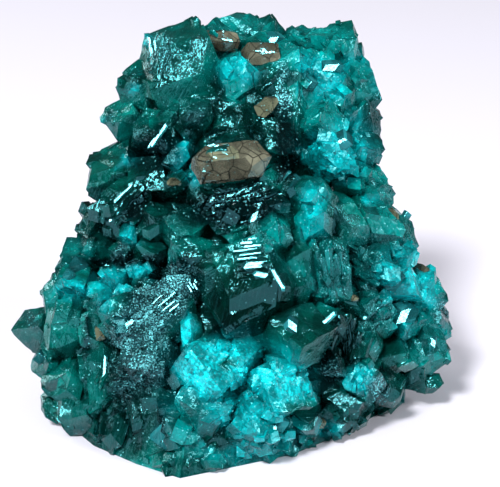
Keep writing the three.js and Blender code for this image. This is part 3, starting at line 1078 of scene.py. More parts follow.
@dataclass(frozen=True)
class Scatter:
    """Small crystals that grow out of a surface, each patch of them turned much the same way.

    Sizes are in millimetres, and the density is the number in a square millimetre.
    """

    name: str
    density: float
    smallest: float
    largest: float
    joined: bool
    patch: float = 2.5
    disorder: float = 0.9
    sink: float = 0.5
    seed: int = 5
    habits: tuple[Span, ...] = ((0.0, 1.0), (3.4, 1.0), (0.0, 0.6), (2.8, 0.7))
    swing: float = 4.0 * math.pi
    rarity: float = 2.2

    def amounts(self) -> dict[str, float]:
        """Returns the tree's amounts by name."""
        return {
            "Density": self.density / MM**2,
            "Smallest": self.smallest,
            "Largest": self.largest,
            "Patch": self.patch * MM,
            "Disorder": self.disorder,
            "Sink": self.sink,
        }

    def kinds(self) -> list[bpy.types.Object]:
        """Makes one small crystal of each habit, one millimetre in radius."""
        made = []
        for index, (length, flatness) in enumerate(self.habits):
            crystal = Crystal(1.0, length, Matrix(), flatness)
            made.append(linked(f"{self.name}.kind{index}", crystal.mesh(f"{self.name}.kind")))
        return made

    def tree(self, kinds: list[bpy.types.Object]) -> Tree:
        """Makes the tree that strews the crystals.

        Args:
            kinds: One object for each habit.

        Returns:
            The tree.
        """
        tree = geometry_tree(self.name, {**dict.fromkeys(self.amounts(), "Float"), "Seed": "Int"})
        given = tree.nodes["Group Input"].outputs
        density = math_node(tree, "MULTIPLY", named_field(tree, "growth"), given["Density"])
        strewn = wired(
            tree,
            "GeometryNodeDistributePointsOnFaces",
            {"Mesh": given["Geometry"], "Density": density, "Seed": given["Seed"]},
            "Points",
        )
        choice = tree.nodes.new("GeometryNodeJoinGeometry")
        for kind in kinds:
            source = wired(tree, "GeometryNodeObjectInfo", {"Object": kind}, "Geometry")
            wrapped = wired(tree, "GeometryNodeGeometryToInstance", {0: source})
            tree.links.new(wrapped, choice.inputs[0])
        inputs = {"Geometry": strewn, "Name": "size", "Value": self._size(tree)}
        sized = wired(tree, "GeometryNodeStoreNamedAttribute", inputs)
        depth = math_node(tree, "MULTIPLY", named_field(tree, "size"), given["Sink"])
        depth = math_node(tree, "MULTIPLY", depth, -MM)
        inwards = scaled(tree, strewn.node.outputs["Normal"], depth)
        inputs = {"Max": len(kinds) - 1, "Seed": given["Seed"]}
        grown = wired(
            tree,
            "GeometryNodeInstanceOnPoints",
            {
                "Points": wired(tree, "GeometryNodeSetPosition", {"Geometry": sized, "Offset": inwards}),
                "Instance": choice.outputs[0],
                "Pick Instance": True,
                "Instance Index": wired(tree, "FunctionNodeRandomValue", inputs, "Value", data_type="INT"),
                "Rotation": self._turn(tree),
                "Scale": named_field(tree, "size"),
            },
        )
        finish_tree(tree, united(tree, grown) if self.joined else grown)
        return tree

    def _turn(self, tree: Tree) -> Socket:
        """Adds the nodes that turn each crystal: a swell shared by a patch and a turn of its own."""
        given = tree.nodes["Group Input"].outputs
        inputs = {
            "Vector": wired(tree, "GeometryNodeInputPosition", {}),
            "Scale": math_node(tree, "DIVIDE", 1.0, given["Patch"]),
        }
        shared = scaled(tree, wired(tree, "ShaderNodeTexNoise", inputs, "Color"), self.swing)
        inputs = {"Min": (-1.0, -1.0, -1.0), "Seed": given["Seed"]}
        own = wired(tree, "FunctionNodeRandomValue", inputs, "Value", data_type="FLOAT_VECTOR")
        inputs = {0: named_field(tree, "unruly"), 4: named_field(tree, "host", "FLOAT_VECTOR"), 5: shared}
        chosen = wired(tree, "ShaderNodeMix", inputs, 1, data_type="VECTOR")
        return wired(tree, "ShaderNodeVectorMath", {0: chosen, 1: scaled(tree, own, given["Disorder"])})

    def _size(self, tree: Tree) -> Socket:
        """Adds the nodes that size each crystal: many small ones and few large ones."""
        given = tree.nodes["Group Input"].outputs
        chance = wired(tree, "FunctionNodeRandomValue", {"Seed": given["Seed"]}, "Value")
        inputs = {
            "Value": math_node(tree, "POWER", chance, self.rarity),
            "To Min": given["Smallest"],
            "To Max": given["Largest"],
        }
        span = wired(tree, "ShaderNodeMapRange", inputs)
        return math_node(tree, "MULTIPLY", span, named_field(tree, "swell"))

    def grow(self, base: Mesh, material: Material) -> Mesh:
        """Grows the small crystals on a mesh that has the attributes growth, swell, host and unruly.

        Args:
            base: The mesh they grow on.
            material: Their finish.

        Returns:
            The joined solid, or the small crystals alone.
        """
        kinds = self.kinds()
        values = {**self.amounts(), "Seed": self.seed, "Material": material}
        mesh = grown_mesh(base, self.tree(kinds), values, self.name)
        for kind in kinds:
            bpy.data.objects.remove(kind)
        return mesh


SMALL_CRYSTALS = Scatter(
    "small_crystals", density=0.6, smallest=0.3, largest=1.3, joined=True, disorder=0.25, sink=0.45
)
SUGAR_CRUST = Scatter(
    "sugar_crust",
    density=1.6,
    smallest=0.06,
    largest=0.16,
    joined=False,
    patch=1.0,
    disorder=3.0,
    sink=0.35,
    seed=9,
)


def fine_mesh(mesh: Mesh, longest: float) -> Mesh:
    """Cuts a mesh's long edges, so that amounts kept at its corners can follow its surface.

    An edge is halved when it is the longest one of both its triangles, which keeps the mesh closed.

    Args:
        mesh: The closed mesh, which is left as it is.
        longest: Longest edge wanted, in metres.

    Returns:
        A copy in triangles.
    """
    work = bmesh.new()
    work.from_mesh(mesh)
    bmesh.ops.triangulate(work, faces=work.faces)
    work.verts.index_update()
    places = np.array([vertex.co[:] for vertex in work.verts])
    faces = np.array([[corner.index for corner in face.verts] for face in work.faces])
    work.free()
    while True:
        count = len(places)
        ends = np.stack((faces, np.roll(faces, -1, axis=1)), axis=2)
        edges, which = np.unique(ends.min(axis=2) * count + ends.max(axis=2), return_inverse=True)
        which = which.reshape(faces.shape)
        low, high = np.divmod(edges, count)
        spans = np.linalg.norm(places[low] - places[high], axis=1)
        rank = np.argsort(np.argsort(spans, kind="stable"), kind="stable")
        side = rank[which].argmax(axis=1)
        rows = np.arange(len(faces))
        chosen = which[rows, side]
        cut = (np.bincount(chosen, minlength=len(edges)) == 2) & (spans > longest)
        if not cut.any():
            break
        number = count + np.cumsum(cut) - 1
        places = np.vstack((places, (places[low[cut]] + places[high[cut]]) / 2.0))
        hit = cut[chosen]
        first, second, third = (faces[rows, (side + step) % 3][hit] for step in range(3))
        middle = number[chosen[hit]]
        halves = (np.column_stack((first, middle, third)), np.column_stack((middle, second, third)))
        faces = np.vstack((faces[~hit], *halves))
    copy = bpy.data.meshes.new(mesh.name + ".fine")
    copy.from_pydata(places.tolist(), [], faces.tolist())
    return copy


def read_rows(items: bpy.types.bpy_prop_collection, name: str) -> np.ndarray:
    """Returns a vector of each item of a mesh as rows."""
    values = np.empty(len(items) * 3)
    items.foreach_get(name, values)
    return values.reshape(-1, 3)


def read_numbers(items: bpy.types.bpy_prop_collection, name: str) -> np.ndarray:
    """Returns a whole number of each item of a mesh."""
    values = np.empty(len(items), dtype=np.int32)
    items.foreach_get(name, values)
    return values


def loop_points(mesh: Mesh) -> np.ndarray:
    """Returns the number of the point at each face corner."""
    return read_numbers(mesh.loops, "vertex_index")


def loop_faces(mesh: Mesh) -> np.ndarray:
    """Returns the number of the face of each face corner."""
    return np.repeat(np.arange(len(mesh.polygons)), read_numbers(mesh.polygons, "loop_total"))


def keep(mesh: Mesh, name: str, values: np.ndarray, domain: str, kind: str = "FLOAT") -> None:
    """Writes a value for each point, corner or face of a mesh as a named attribute.

    Args:
        mesh: The mesh.
        name: Name of the attribute.
        values: One number or one row for each item.
        domain: POINT, CORNER or FACE.
        kind: FLOAT, FLOAT_VECTOR or FLOAT_COLOR.
    """
    attribute = mesh.attributes.new(name, kind, domain)
    part = {"FLOAT": "value", "FLOAT_VECTOR": "vector", "FLOAT_COLOR": "color"}[kind]
    attribute.data.foreach_set(part, values.astype(np.float32).ravel())


# Each row is across, up, towards, radius, length, lean, tip, roll and, for some, flatness.
CORE: tuple[Row, ...] = (
    (-0.5, 10.6, -8.0, 9.3, 27, 2, -8, 34),
    (-3.0, -2.0, -7.5, 11.0, 26, 90, 0, 10),
    (-2.5, -9.0, -6.5, 12.5, 34, 88, 4, 0),
    (3.0, -6.0, -10.0, 11.5, 34, 94, -6, 30),
    (-4.0, -13.0, -3.0, 8.5, 24, 100, 10, 15),
    (5.5, -12.0, -8.0, 10.0, 24, 60, 0, 20),
)
UPPER_LEFT: tuple[Row, ...] = (
    (-6.9, 16.9, -2.6, 4.5, 12.4, 12, -12, 28),
    (-5.6, 12.6, -1.6, 3.2, 9, 12, 4, 40),
    (-10.6, 15.5, -2.0, 2.4, 6.4, 46, 8, 5),
    (-12.2, 12.2, -2.4, 3.0, BLOCK, 6, 4, 18),
    (-9.4, 10.8, 0.0, 2.8, 6.6, 30, 20, 0),
    (-13.0, 6.6, -2.0, 3.6, 8.0, 14, 6, 8),
    (-10.0, 6.4, 0.2, 3.2, BLOCK, 30, 20, 35),
    (-12.4, 3.9, 0.8, 2.8, 6.6, 52, 18, 0, 0.45),
    (-11.8, 2.4, 1.2, 2.6, 6.2, 53, 16, 5, 0.42),
    (-15.3, 2.2, -2.6, 2.8, BLOCK, -28, 8, 25),
    (-14.7, -0.2, -1.4, 2.6, BLOCK, 20, 12, 0),
    (-17.0, -1.4, -3.6, 2.7, BLOCK, 30, 5, 12),
)
UPPER_MIDDLE: tuple[Row, ...] = (
    (-3.2, 19.6, -5.2, 3.1, 6.0, 74, -12, 20),
    (1.0, 18.6, -4.2, 3.0, BLOCK, 84, 4, 12),
    (-1.2, 16.2, -1.6, 2.7, 7.0, 176, -18, 28),
    (1.6, 15.6, -2.4, 2.6, BLOCK, 160, 10, 10),
    (1.7, 13.5, -0.6, 1.6, BLOCK, 130, 30, 0),
    (-2.2, 12.2, -0.8, 2.8, 7.0, 118, 12, 20),
    (-5.2, 12.6, 1.2, 1.5, 4.4, 36, 18, 10),
    (-7.1, 8.7, 1.6, 1.1, 4.2, 38, 14, 0),
    (-2.4, 8.0, 2.8, 3.0, 8.2, 80, 6, 32),
    (-7.4, 6.1, 2.0, 1.3, BLOCK, 60, 30, 10),
    (-4.6, 4.6, 2.6, 2.2, BLOCK, 70, 18, 0),
    (-2.2, 5.2, 3.0, 2.6, 8.4, 78, 0, 4, 0.42),
    (-1.4, 3.8, 3.6, 2.7, 9.0, 76, 2, 0, 0.38),
    (-0.2, 2.5, 4.0, 2.7, 8.4, 72, 4, 4, 0.38),
    (3.4, 5.4, 3.4, 1.9, BLOCK, 158, 32, 18),
    (2.4, 10.2, -0.6, 2.8, 6.6, 110, 10, 25),
)
UPPER_RIGHT: tuple[Row, ...] = (
    (-1.4, 20.7, -9.4, 2.7, 7.0, 70, 0, 8),
    (1.6, 20.2, -9.4, 2.9, BLOCK, 84, 8, 24),
    (4.9, 19.4, -9.4, 3.0, BLOCK, 70, 6, 10),
    (7.3, 19.6, -9.6, 2.9, BLOCK, 40, 4, 0),
    (9.1, 19.7, -9.4, 2.6, 6.0, 22, 6, 20),
    (5.6, 17.4, -6.4, 2.5, BLOCK, 120, 14, 10),
    (7.4, 16.7, -5.4, 2.1, 7.0, 132, 16, 0, 0.7),
    (4.9, 14.4, -3.6, 2.8, BLOCK, 150, 18, 24),
    (8.6, 14.4, -5.4, 2.6, BLOCK, 60, 20, 15),
    (10.2, 15.8, -8.6, 2.6, 8.2, -18, 2, 12),
    (6.6, 11.8, -3.4, 3.3, 6.8, 20, 16, 0),
    (10.8, 11.8, -8.4, 2.4, 7.4, 0, 0, 22),
    (8.0, 8.8, -1.2, 2.6, 5.8, 146, 34, 14),
    (11.0, 9.2, -6.0, 2.9, BLOCK, -28, 12, 0),
    (10.0, 6.0, -4.0, 2.8, BLOCK, 40, 10, 30),
    (11.5, 5.4, -6.6, 2.8, 7.8, -26, 4, 14),
)
BELT: tuple[Row, ...] = (
    (-9.4, 2.2, 2.0, 2.2, BLOCK, 64, 16, 0),
    (-6.6, 1.5, 3.2, 2.3, 5.6, 82, 18, 20),
    (-12.1, 0.9, 2.0, 1.4, BLOCK, 30, 24, 10),
    (-12.6, -1.2, 1.6, 1.8, BLOCK, 50, 12, 0),
    (-10.0, -0.8, 2.6, 2.0, BLOCK, 70, 20, 15),
    (-6.0, -1.2, 3.6, 2.4, 6.4, 86, 10, 5),
    (2.4, 0.9, 5.2, 1.9, 5.2, -6, 16, 12),
    (6.3, 4.5, 3.6, 2.2, 5.6, 140, 20, 8),
    (6.3, 2.2, 4.6, 1.9, 5.2, 2, 14, 30),
    (9.0, 2.2, 0.6, 2.6, 7.6, -40, 12, 10),
    (11.8, 1.6, -2.8, 3.2, 8.0, -24, 10, 0),
    (13.8, 1.0, -5.6, 2.7, 7.6, -16, 2, 20),
    (11.4, -2.2, 0.2, 2.4, BLOCK, -20, 14, 15),
    (14.4, -1.8, -4.2, 2.9, BLOCK, -34, 10, 5),
)
LOWER_MIDDLE: tuple[Row, ...] = (
    (0.6, -4.0, 5.4, 4.4, 11.2, 4, 28, 27),
    (0.0, -6.4, 4.6, 4.8, 9.6, -2, 8, 30),
    (-3.6, -2.6, 4.2, 2.5, 7.0, 60, 12, 0),
    (5.0, -2.6, 4.0, 2.3, 8.0, -4, 14, 20),
    (7.8, -3.2, 3.4, 2.5, 8.2, -6, 18, 0),
    (9.4, -5.6, 2.0, 2.4, BLOCK, 20, 10, 18),
    (4.8, -9.4, 6.6, 3.4, 7.6, 76, 16, 8),
    (7.6, -8.0, 4.6, 2.6, BLOCK, 60, 20, 25),
)
LOWER_LEFT: tuple[Row, ...] = (
    (-13.4, -3.4, 2.2, 2.0, BLOCK, 60, 16, 12),
    (-10.8, -2.8, 3.0, 1.6, BLOCK, 84, 16, 0),
    (-17.3, -4.0, -0.4, 2.8, BLOCK, 40, 12, 20),
    (-14.8, -5.4, 1.6, 1.7, 4.8, 170, 14, 0),
    (-18.7, -5.0, -3.4, 2.8, BLOCK, 4, 4, 10),
    (-18.0, -8.2, -0.4, 2.8, 8.6, 6, 6, 24),
    (-21.0, -8.6, -4.0, 3.0, BLOCK, 24, 8, 0),
    (-19.6, -11.6, -2.6, 2.9, BLOCK, -30, 6, 15),
    (-15.0, -8.6, 1.8, 1.7, 8.6, 2, 4, 0, 0.8),
    (-14.6, -13.2, 1.6, 2.0, 9.0, -4, 2, 10, 0.8),
    (-12.6, -6.6, 3.6, 2.0, 6.6, 48, 12, 0, 0.55),
    (-11.4, -7.8, 4.2, 2.3, 7.4, 50, 14, 4, 0.5),
    (-8.4, -5.6, 4.4, 2.0, 9.0, 52, 14, 0, 0.5),
    (-8.2, -7.8, 4.6, 2.5, 8.6, 50, 12, 8, 0.6),
    (-9.8, -11.4, 4.2, 3.5, 8.0, 38, 16, 14),
    (-18.1, -13.4, -1.2, 3.1, BLOCK, 10, 6, 0),
    (-18.2, -15.8, -2.6, 2.8, BLOCK, -20, 0, 20),
    (-16.6, -16.8, -0.4, 2.9, 6.4, 14, 4, 8),
    (-12.8, -13.0, 3.0, 2.5, BLOCK, 8, 10, 18),
    (-13.2, -18.0, 1.6, 2.7, BLOCK, -12, 6, 0),
    (-10.2, -17.0, 3.4, 2.5, 7.0, 14, 8, 25),
    (-8.6, -20.2, 3.6, 2.3, BLOCK, 60, 0, 10),
)
CRUST: tuple[Row, ...] = (
    (-4.0, -12.6, 6.6, 4.2, 8.4, 84, 10, 25),
    (-5.8, -9.0, 5.6, 1.2, 5.0, -6, 10, 0),
    (-1.4, -11.4, 6.6, 2.8, 6.2, 66, 14, 10),
    (2.8, -14.6, 6.0, 3.8, 8.4, 100, 10, 28),
    (-4.6, -16.6, 6.4, 3.6, 7.6, 74, 6, 15),
    (-7.2, -19.0, 5.8, 2.2, BLOCK, 10, 14, 20),
    (0.6, -18.0, 5.6, 3.6, 8.0, 110, 6, 5),
    (5.2, -17.2, 3.4, 3.0, BLOCK, 60, 8, 20),
    (-4.6, -21.2, 5.0, 2.8, 6.4, 78, 0, 12),
    (1.4, -20.2, 3.2, 2.7, BLOCK, 98, 0, 30),
)
LOWER_RIGHT: tuple[Row, ...] = (
    (7.9, -12.0, 3.8, 1.9, BLOCK, 20, 20, 12),
    (10.8, -13.5, 1.6, 2.3, 5.4, 44, 24, 0),
    (12.9, -14.2, -1.2, 2.2, BLOCK, 30, 14, 18),
    (9.4, -16.0, 0.0, 2.8, 7.0, 66, 4, 8),
    (8.6, -17.4, 0.8, 2.2, BLOCK, 70, 0, 25),
    (10.8, -9.4, 0.6, 2.9, 6.6, 20, 8, 15),
    (12.4, -6.8, 0.8, 2.2, 6.4, -36, 18, 0, 0.7),
    (15.3, -4.2, -1.2, 2.3, BLOCK, 18, 20, 22),
    (13.6, -3.8, -0.6, 1.8, BLOCK, 60, 16, 0),
    (15.4, -7.8, -1.2, 2.2, BLOCK, 80, 18, 10),
    (17.1, -4.9, -5.6, 2.6, 6.4, -18, 6, 5),
    (17.9, -7.6, -6.2, 2.8, BLOCK, 10, 8, 20),
    (17.4, -10.2, -4.6, 2.5, 6.6, -10, 6, 0),
    (14.4, -11.2, -1.2, 2.4, BLOCK, 16, 10, 24),
    (16.3, -12.5, -5.6, 2.8, BLOCK, 46, 4, 12),
    (13.4, -14.4, -5.2, 2.2, 5.8, 62, 0, 0),
)
BACK_UPPER: tuple[Row, ...] = (
    (-6.6, 15.4, -8.8, 3.5, 9.0, 16, -14, 10),
    (-1.6, 16.8, -11.0, 3.8, 8.4, -10, -30, 24),
    (4.4, 15.8, -11.8, 3.5, 8.0, 20, -34, 6),
    (7.4, 14.0, -11.4, 3.1, 7.6, -14, -20, 18),
    (-10.4, 9.8, -7.8, 3.1, 7.8, -20, -10, 14),
    (-6.6, 9.8, -11.6, 3.8, BLOCK, 34, -36, 0),
    (-0.4, 9.6, -13.6, 4.2, 9.6, 4, -50, 26),
    (6.0, 8.4, -13.8, 3.8, BLOCK, -30, -40, 12),
    (9.4, 8.0, -10.6, 3.4, 8.0, 24, -24, 8),
    (-12.2, 4.0, -7.8, 3.1, 7.4, 10, -14, 28),
    (-9.2, 3.2, -12.6, 3.9, BLOCK, -34, -30, 16),
    (-3.2, 2.4, -15.8, 4.2, 9.4, 22, -56, 2),
    (4.2, 1.6, -16.2, 4.2, BLOCK, -16, -48, 20),
    (10.0, 1.4, -13.0, 3.6, 8.6, 36, -30, 10),
)
BACK_LOWER: tuple[Row, ...] = (
    (-16.2, -3.4, -8.6, 3.0, 7.4, 20, -16, 6),
    (-13.8, -4.8, -13.4, 3.7, BLOCK, -26, -34, 22),
    (-8.0, -5.4, -16.8, 4.2, 9.4, 30, -52, 12),
    (-0.6, -6.0, -18.4, 4.4, BLOCK, -8, -60, 0),
    (6.8, -5.8, -17.4, 4.0, 9.2, 26, -44, 26),
    (12.4, -4.8, -13.8, 3.6, BLOCK, -30, -30, 14),
    (15.4, -5.6, -9.6, 3.1, 7.6, 12, -16, 4),
    (-17.4, -9.6, -7.8, 3.1, 7.4, -14, -10, 16),
    (-15.6, -12.0, -12.6, 3.6, BLOCK, 40, -26, 24),
    (-10.2, -12.8, -17.0, 4.0, 9.0, -20, -40, 8),
    (-2.8, -13.4, -19.2, 4.2, BLOCK, 14, -50, 20),
    (5.0, -13.0, -18.2, 4.0, 9.0, -36, -42, 10),
    (11.2, -11.8, -14.6, 3.7, BLOCK, 28, -28, 2),
    (15.6, -10.0, -9.6, 3.2, 7.4, -12, -12, 18),
)
PLACED: tuple[Row, ...] = (
    *CORE,
    *UPPER_LEFT,
    *UPPER_MIDDLE,
    *UPPER_RIGHT,
    *BELT,
    *LOWER_MIDDLE,
    *LOWER_LEFT,
    *CRUST,
    *LOWER_RIGHT,
    *BACK_UPPER,
    *BACK_LOWER,
)


def kept(tree: Tree, name: str, output: str = "Fac") -> Socket:
    """Adds a node that reads a named attribute in a shader tree."""
    return wired(tree, "ShaderNodeAttribute", {}, output, attribute_name=name)


def mixed_colour(
    tree: Tree, blend: str, amount: Socket | float, first: Socket | Rgba, second: Socket | Rgba
) -> Socket:
    """Adds a node that blends two colours.

    Args:
        tree: The node tree.
        blend: Name of the blend.
        amount: How much of the second colour is used.
        first: First colour.
        second: Second colour.

    Returns:
        The blended colour.
    """
    inputs = {0: amount, 6: first, 7: second}
    return wired(tree, "ShaderNodeMix", inputs, 2, data_type="RGBA", blend_type=blend)


def cells(tree: Tree, place: Socket, scale: float, output: str = "Color", **settings: object) -> Socket:
    """Adds a cell texture.

    Args:
        tree: The node tree.
        place: Where it is looked up.
        scale: Cells in a metre.
        output: The output wanted.
        settings: The node's own settings.

    Returns:
        That output.
    """
    return wired(tree, "ShaderNodeTexVoronoi", {"Vector": place, "Scale": scale}, output, **settings)


@dataclass(frozen=True)
class CloudyStone:
    """Colour of the stone: its tone, cloudier and darker by places, with painted shade in crevices,
    painted highlights where glints stand and painted glint specks on sparkling patches.

    A pair of numbers is a gain and an offset of the value it is named for.
    """

    cloud_scale: float = 420.0
    cloud_detail: float = 2.5
    cloud_light: Span = (1.6, 0.2)
    fleck_scale: float = 4200.0
    fleck_contrast: float = 2.0
    fleck_light: Span = (1.4, 0.55)
    facet_light: Span = (0.95, 0.5)
    # Colour of the painted highlights and painted reflections.
    pale: Rgba = (0.5, 0.78, 0.82, 1.0)
    pale_cloud: Span = (1.8, -0.2)
    # Painted shade: share of the colour left in the darkest crevices.
    darkest_crevice_shade: float = 0.12
    crack_scale: float = 620.0
    crack_width: float = 0.025
    chips: tuple[Triple, ...] = ((520.0, 0.7, 1.35), (1400.0, 0.85, 1.2))
    # Painted glints: pale cyan specks strewn in cells, thickest on sparkling patches.
    glint_speck_scale: float = 8000.0
    glint_speck_share: float = 0.4
    glint_speck_contrast: float = 4.0
    glint_speck_cloud: Span = (4.0, -1.0)
    stray_glint_share: float = 0.022
    painted_glint: Rgba = (0.22, 0.85, 0.92, 1.0)

    def group(self) -> Tree:
        """Makes the shader group."""
        amounts = ("Facet", "Crevice_shade_mask", "Pale", "Grain", "Cracks", "Sparkle")
        inputs = {"Tone": "Color", **dict.fromkeys(amounts, "Float"), "Place": "Vector"}
        tree = node_tree("Cloudy stone", "Shader", inputs, {"Colour": "Color"})
        given = tree.nodes["Group Input"].outputs
        place = given["Place"]
        times = partial(math_node, tree, "MULTIPLY")
        ramp = partial(math_node, tree, "MULTIPLY_ADD")
        inputs = {"Vector": place, "Scale": self.cloud_scale, "Detail": self.cloud_detail}
        cloud = wired(tree, "ShaderNodeTexNoise", inputs, "Fac")
        light = ramp(cloud, *self.cloud_light)
        for scale, least, most in self.chips:
            chip = wired(tree, "ShaderNodeSeparateColor", {0: cells(tree, place, scale)})
            light = times(light, ramp(chip, most - least, least))
        light = times(light, ramp(given["Facet"], *self.facet_light))
        fleck = math_node(tree, "POWER", cells(tree, place, self.fleck_scale), self.fleck_contrast)
        dotted = math_node(tree, "SUBTRACT", ramp(fleck, *self.fleck_light), 1.0)
        light = times(light, ramp(dotted, given["Grain"], 1.0))
        # Painted shade: the colour darkens in crevices, by the openness of each point.
        light = times(light, ramp(given["Crevice_shade_mask"], 1.0 - self.darkest_crevice_shade, self.darkest_crevice_shade))
        gap = cells(tree, place, self.crack_scale, "Distance", feature="DISTANCE_TO_EDGE")
        crack = times(math_node(tree, "LESS_THAN", gap, self.crack_width), given["Cracks"])
        light = times(light, math_node(tree, "SUBTRACT", 1.0, crack))
        # Painted highlight: the pale colour is mixed in where glints and grey reflections stand.
        painted_highlight_share = times(ramp(cloud, *self.pale_cloud), given["Pale"])
        colour = mixed_colour(tree, "MIX", painted_highlight_share, given["Tone"], self.pale)
        # Painted glints: a cell takes the glint colour when its chance falls under the share.
        chance = wired(tree, "ShaderNodeSeparateColor", {0: cells(tree, place, self.glint_speck_scale)})
        share = times(math_node(tree, "POWER", given["Sparkle"], self.glint_speck_contrast), self.glint_speck_share)
        share = ramp(given["Sparkle"], self.stray_glint_share, share)
        share = times(share, ramp(cloud, *self.glint_speck_cloud))
        painted_glint = times(math_node(tree, "LESS_THAN", chance, share), chance.node.outputs[1])
        colour = scaled(tree, mixed_colour(tree, "MIX", painted_glint, colour, self.painted_glint), light)
        tree.links.new(colour, tree.nodes["Group Output"].inputs["Colour"])
        return tree


@dataclass(frozen=True)
class GrainNormal:
    """Tiny crystal faces, each cell of them tilted its own way so that some flash.

    A row of cells is their scale, their tilt everywhere and their further tilt on sparkling patches.
    """

    cells: tuple[Triple, ...] = (
        (520.0, 0.04, 0.14),
        (1400.0, 0.02, 0.35),
        (4500.0, 0.0, 0.9),
        (9000.0, 0.0, 0.8),
    )
    untilted: Triple = (0.5, 0.5, 0.5)

    def group(self) -> Tree:
        """Makes the shader group."""
        inputs = {"Place": "Vector", "Amount": "Float"}
        tree = node_tree("Grain faces", "Shader", inputs, {"Normal": "Vector"})
        given = tree.nodes["Group Input"].outputs
        total = wired(tree, "ShaderNodeNewGeometry", {}, "Normal")
        for scale, always, more in self.cells:
            inputs = {0: cells(tree, given["Place"], scale), 1: self.untilted}
            centred = wired(tree, "ShaderNodeVectorMath", inputs, operation="SUBTRACT")
            share = math_node(tree, "MULTIPLY_ADD", given["Amount"], more, always)
            total = wired(tree, "ShaderNodeVectorMath", {0: total, 1: scaled(tree, centred, share)})
        even = wired(tree, "ShaderNodeVectorMath", {0: total}, operation="NORMALIZE")
        tree.links.new(even, tree.nodes["Group Output"].inputs["Normal"])
        return tree


@dataclass(frozen=True)
class GrowthLines:
    """Fine parallel ridges along each crystal face, broken here and there."""

    stretch: Triple = (4.5, 0.22, 1.0)
    detail: float = 3.0
    roughness: float = 0.65
    streak: Span = (5.0, -2.7)

    def group(self) -> Tree:
        """Makes the shader group."""
        inputs = {"Flat": "Vector", "Amount": "Float"}
        tree = node_tree("Growth lines", "Shader", inputs, {"Height": "Float", "Streak": "Float"})
        given = tree.nodes["Group Input"].outputs
        inputs = {
            "Vector": wired(tree, "ShaderNodeMapping", {"Vector": given["Flat"], "Scale": self.stretch}),
            "Scale": 1.0,
            "Detail": self.detail,
            "Roughness": self.roughness,
        }
        ridges = wired(tree, "ShaderNodeTexNoise", inputs, "Fac", noise_dimensions="2D")
        sharp = math_node(tree, "MULTIPLY_ADD", ridges, *self.streak)
        results = {
            "Height": math_node(tree, "MULTIPLY", ridges, given["Amount"]),
            "Streak": wired(tree, "ShaderNodeClamp", {"Value": sharp}),
        }
        for name, result in results.items():
            tree.links.new(result, tree.nodes["Group Output"].inputs[name])
        return tree


@dataclass(frozen=True)
class StoneGroups:
    """The shader groups that the crystal finishes share."""

    colour: Tree
    grain: Tree
    growth: Tree


def new_material(name: str) -> tuple[Material, Tree, bpy.types.Node]:
    """Returns a new material, its tree and its shader."""
    material = bpy.data.materials.new(name)
    material.use_nodes = True
    return material, material.node_tree, material.node_tree.nodes["Principled BSDF"]


@dataclass(frozen=True)
class CrystalFinish:
    """Finish of dioptase: see-through with deep teal inside, glassy on faces, sugary on grains."""

    name: str
    transmission: float
    smooth: float
    rough: float
    tilt: float
    lift: float = 1.0
    ior: float = 1.66
    sealed: bool = True
    inside: Rgba = (0.0, 0.74, 0.7, 1.0)
    inside_density: float = 420.0
    tint: Rgba = (0.23, 0.88, 0.97, 1.0)
    ridge_height: float = 0.09
    ribs: Span = (0.9, 0.1)
    # Painted highlight: a paler teal along the growth ridges, for the thin white lines of stepped faces;
    # streak is its share.
    streak: float = 0.3
    painted_streak_highlight: Rgba = (0.05, 0.5, 0.54, 1.0)

    def material(self, groups: StoneGroups) -> Material:
        """Makes the material from the shared shader groups."""
        material, tree, shader = new_material(self.name)
        times = partial(math_node, tree, "MULTIPLY")
        ramp = partial(math_node, tree, "MULTIPLY_ADD")
        place = wired(tree, "ShaderNodeTexCoord", {}, "Object")
        lines = kept(tree, "lines")
        inputs = {"Flat": wired(tree, "ShaderNodeUVMap", {}, "UV", uv_map="ribs"), "Amount": lines}
        streak = wired(tree, "ShaderNodeGroup", inputs, "Streak", node_tree=groups.growth)
        amounts = ("facet", "crevice_shade_mask", "cracks", "sparkle", "grain")
        inputs = {name.capitalize(): kept(tree, name) for name in amounts}
        grain, sparkle = inputs["Grain"], inputs["Sparkle"]
        inputs["Tone"] = kept(tree, "tone", "Color")
        inputs["Pale"] = times(kept(tree, "pale"), ramp(streak, *self.ribs))
        inputs["Place"] = place
        colour = wired(tree, "ShaderNodeGroup", inputs, "Colour", node_tree=groups.colour)
        colour = mixed_colour(tree, "MULTIPLY", 1.0, colour, (self.lift, self.lift, self.lift, 1.0))
        # Painted highlight lines along the growth ridges.
        streak_highlight_share = times(times(streak, lines), self.streak)
        inputs = {"Place": place, "Amount": times(sparkle, self.tilt)}
        faces = wired(tree, "ShaderNodeGroup", inputs, "Normal", node_tree=groups.grain)
        ridges = streak.node.outputs["Height"]
        inputs = {"Distance": self.ridge_height * MM, "Height": ridges, "Normal": faces}
        links = {
            "Base Color": mixed_colour(tree, "MIX", streak_highlight_share, colour, self.painted_streak_highlight),
            "Roughness": ramp(grain, self.rough - self.smooth, self.smooth),
            "Normal": wired(tree, "ShaderNodeBump", inputs, "Normal"),
        }
        for name, source in links.items():
            tree.links.new(source, shader.inputs[name])
        shader.inputs["IOR"].default_value = self.ior
        shader.inputs["Transmission Weight"].default_value = self.transmission
        shader.inputs["Specular Tint"].default_value = self.tint
        if self.sealed:
            inputs = {"Color": self.inside, "Density": self.inside_density}
            absorb = wired(tree, "ShaderNodeVolumeAbsorption", inputs)
            tree.links.new(absorb, tree.nodes["Material Output"].inputs["Volume"])
        return material


STONE = CrystalFinish("dioptase", transmission=0.5, smooth=0.1, rough=0.34, tilt=0.5)
SUGARY_STONE = CrystalFinish(
    "sugary dioptase", transmission=0.25, smooth=0.15, rough=0.4, tilt=0.3, lift=1.25, sealed=False
)


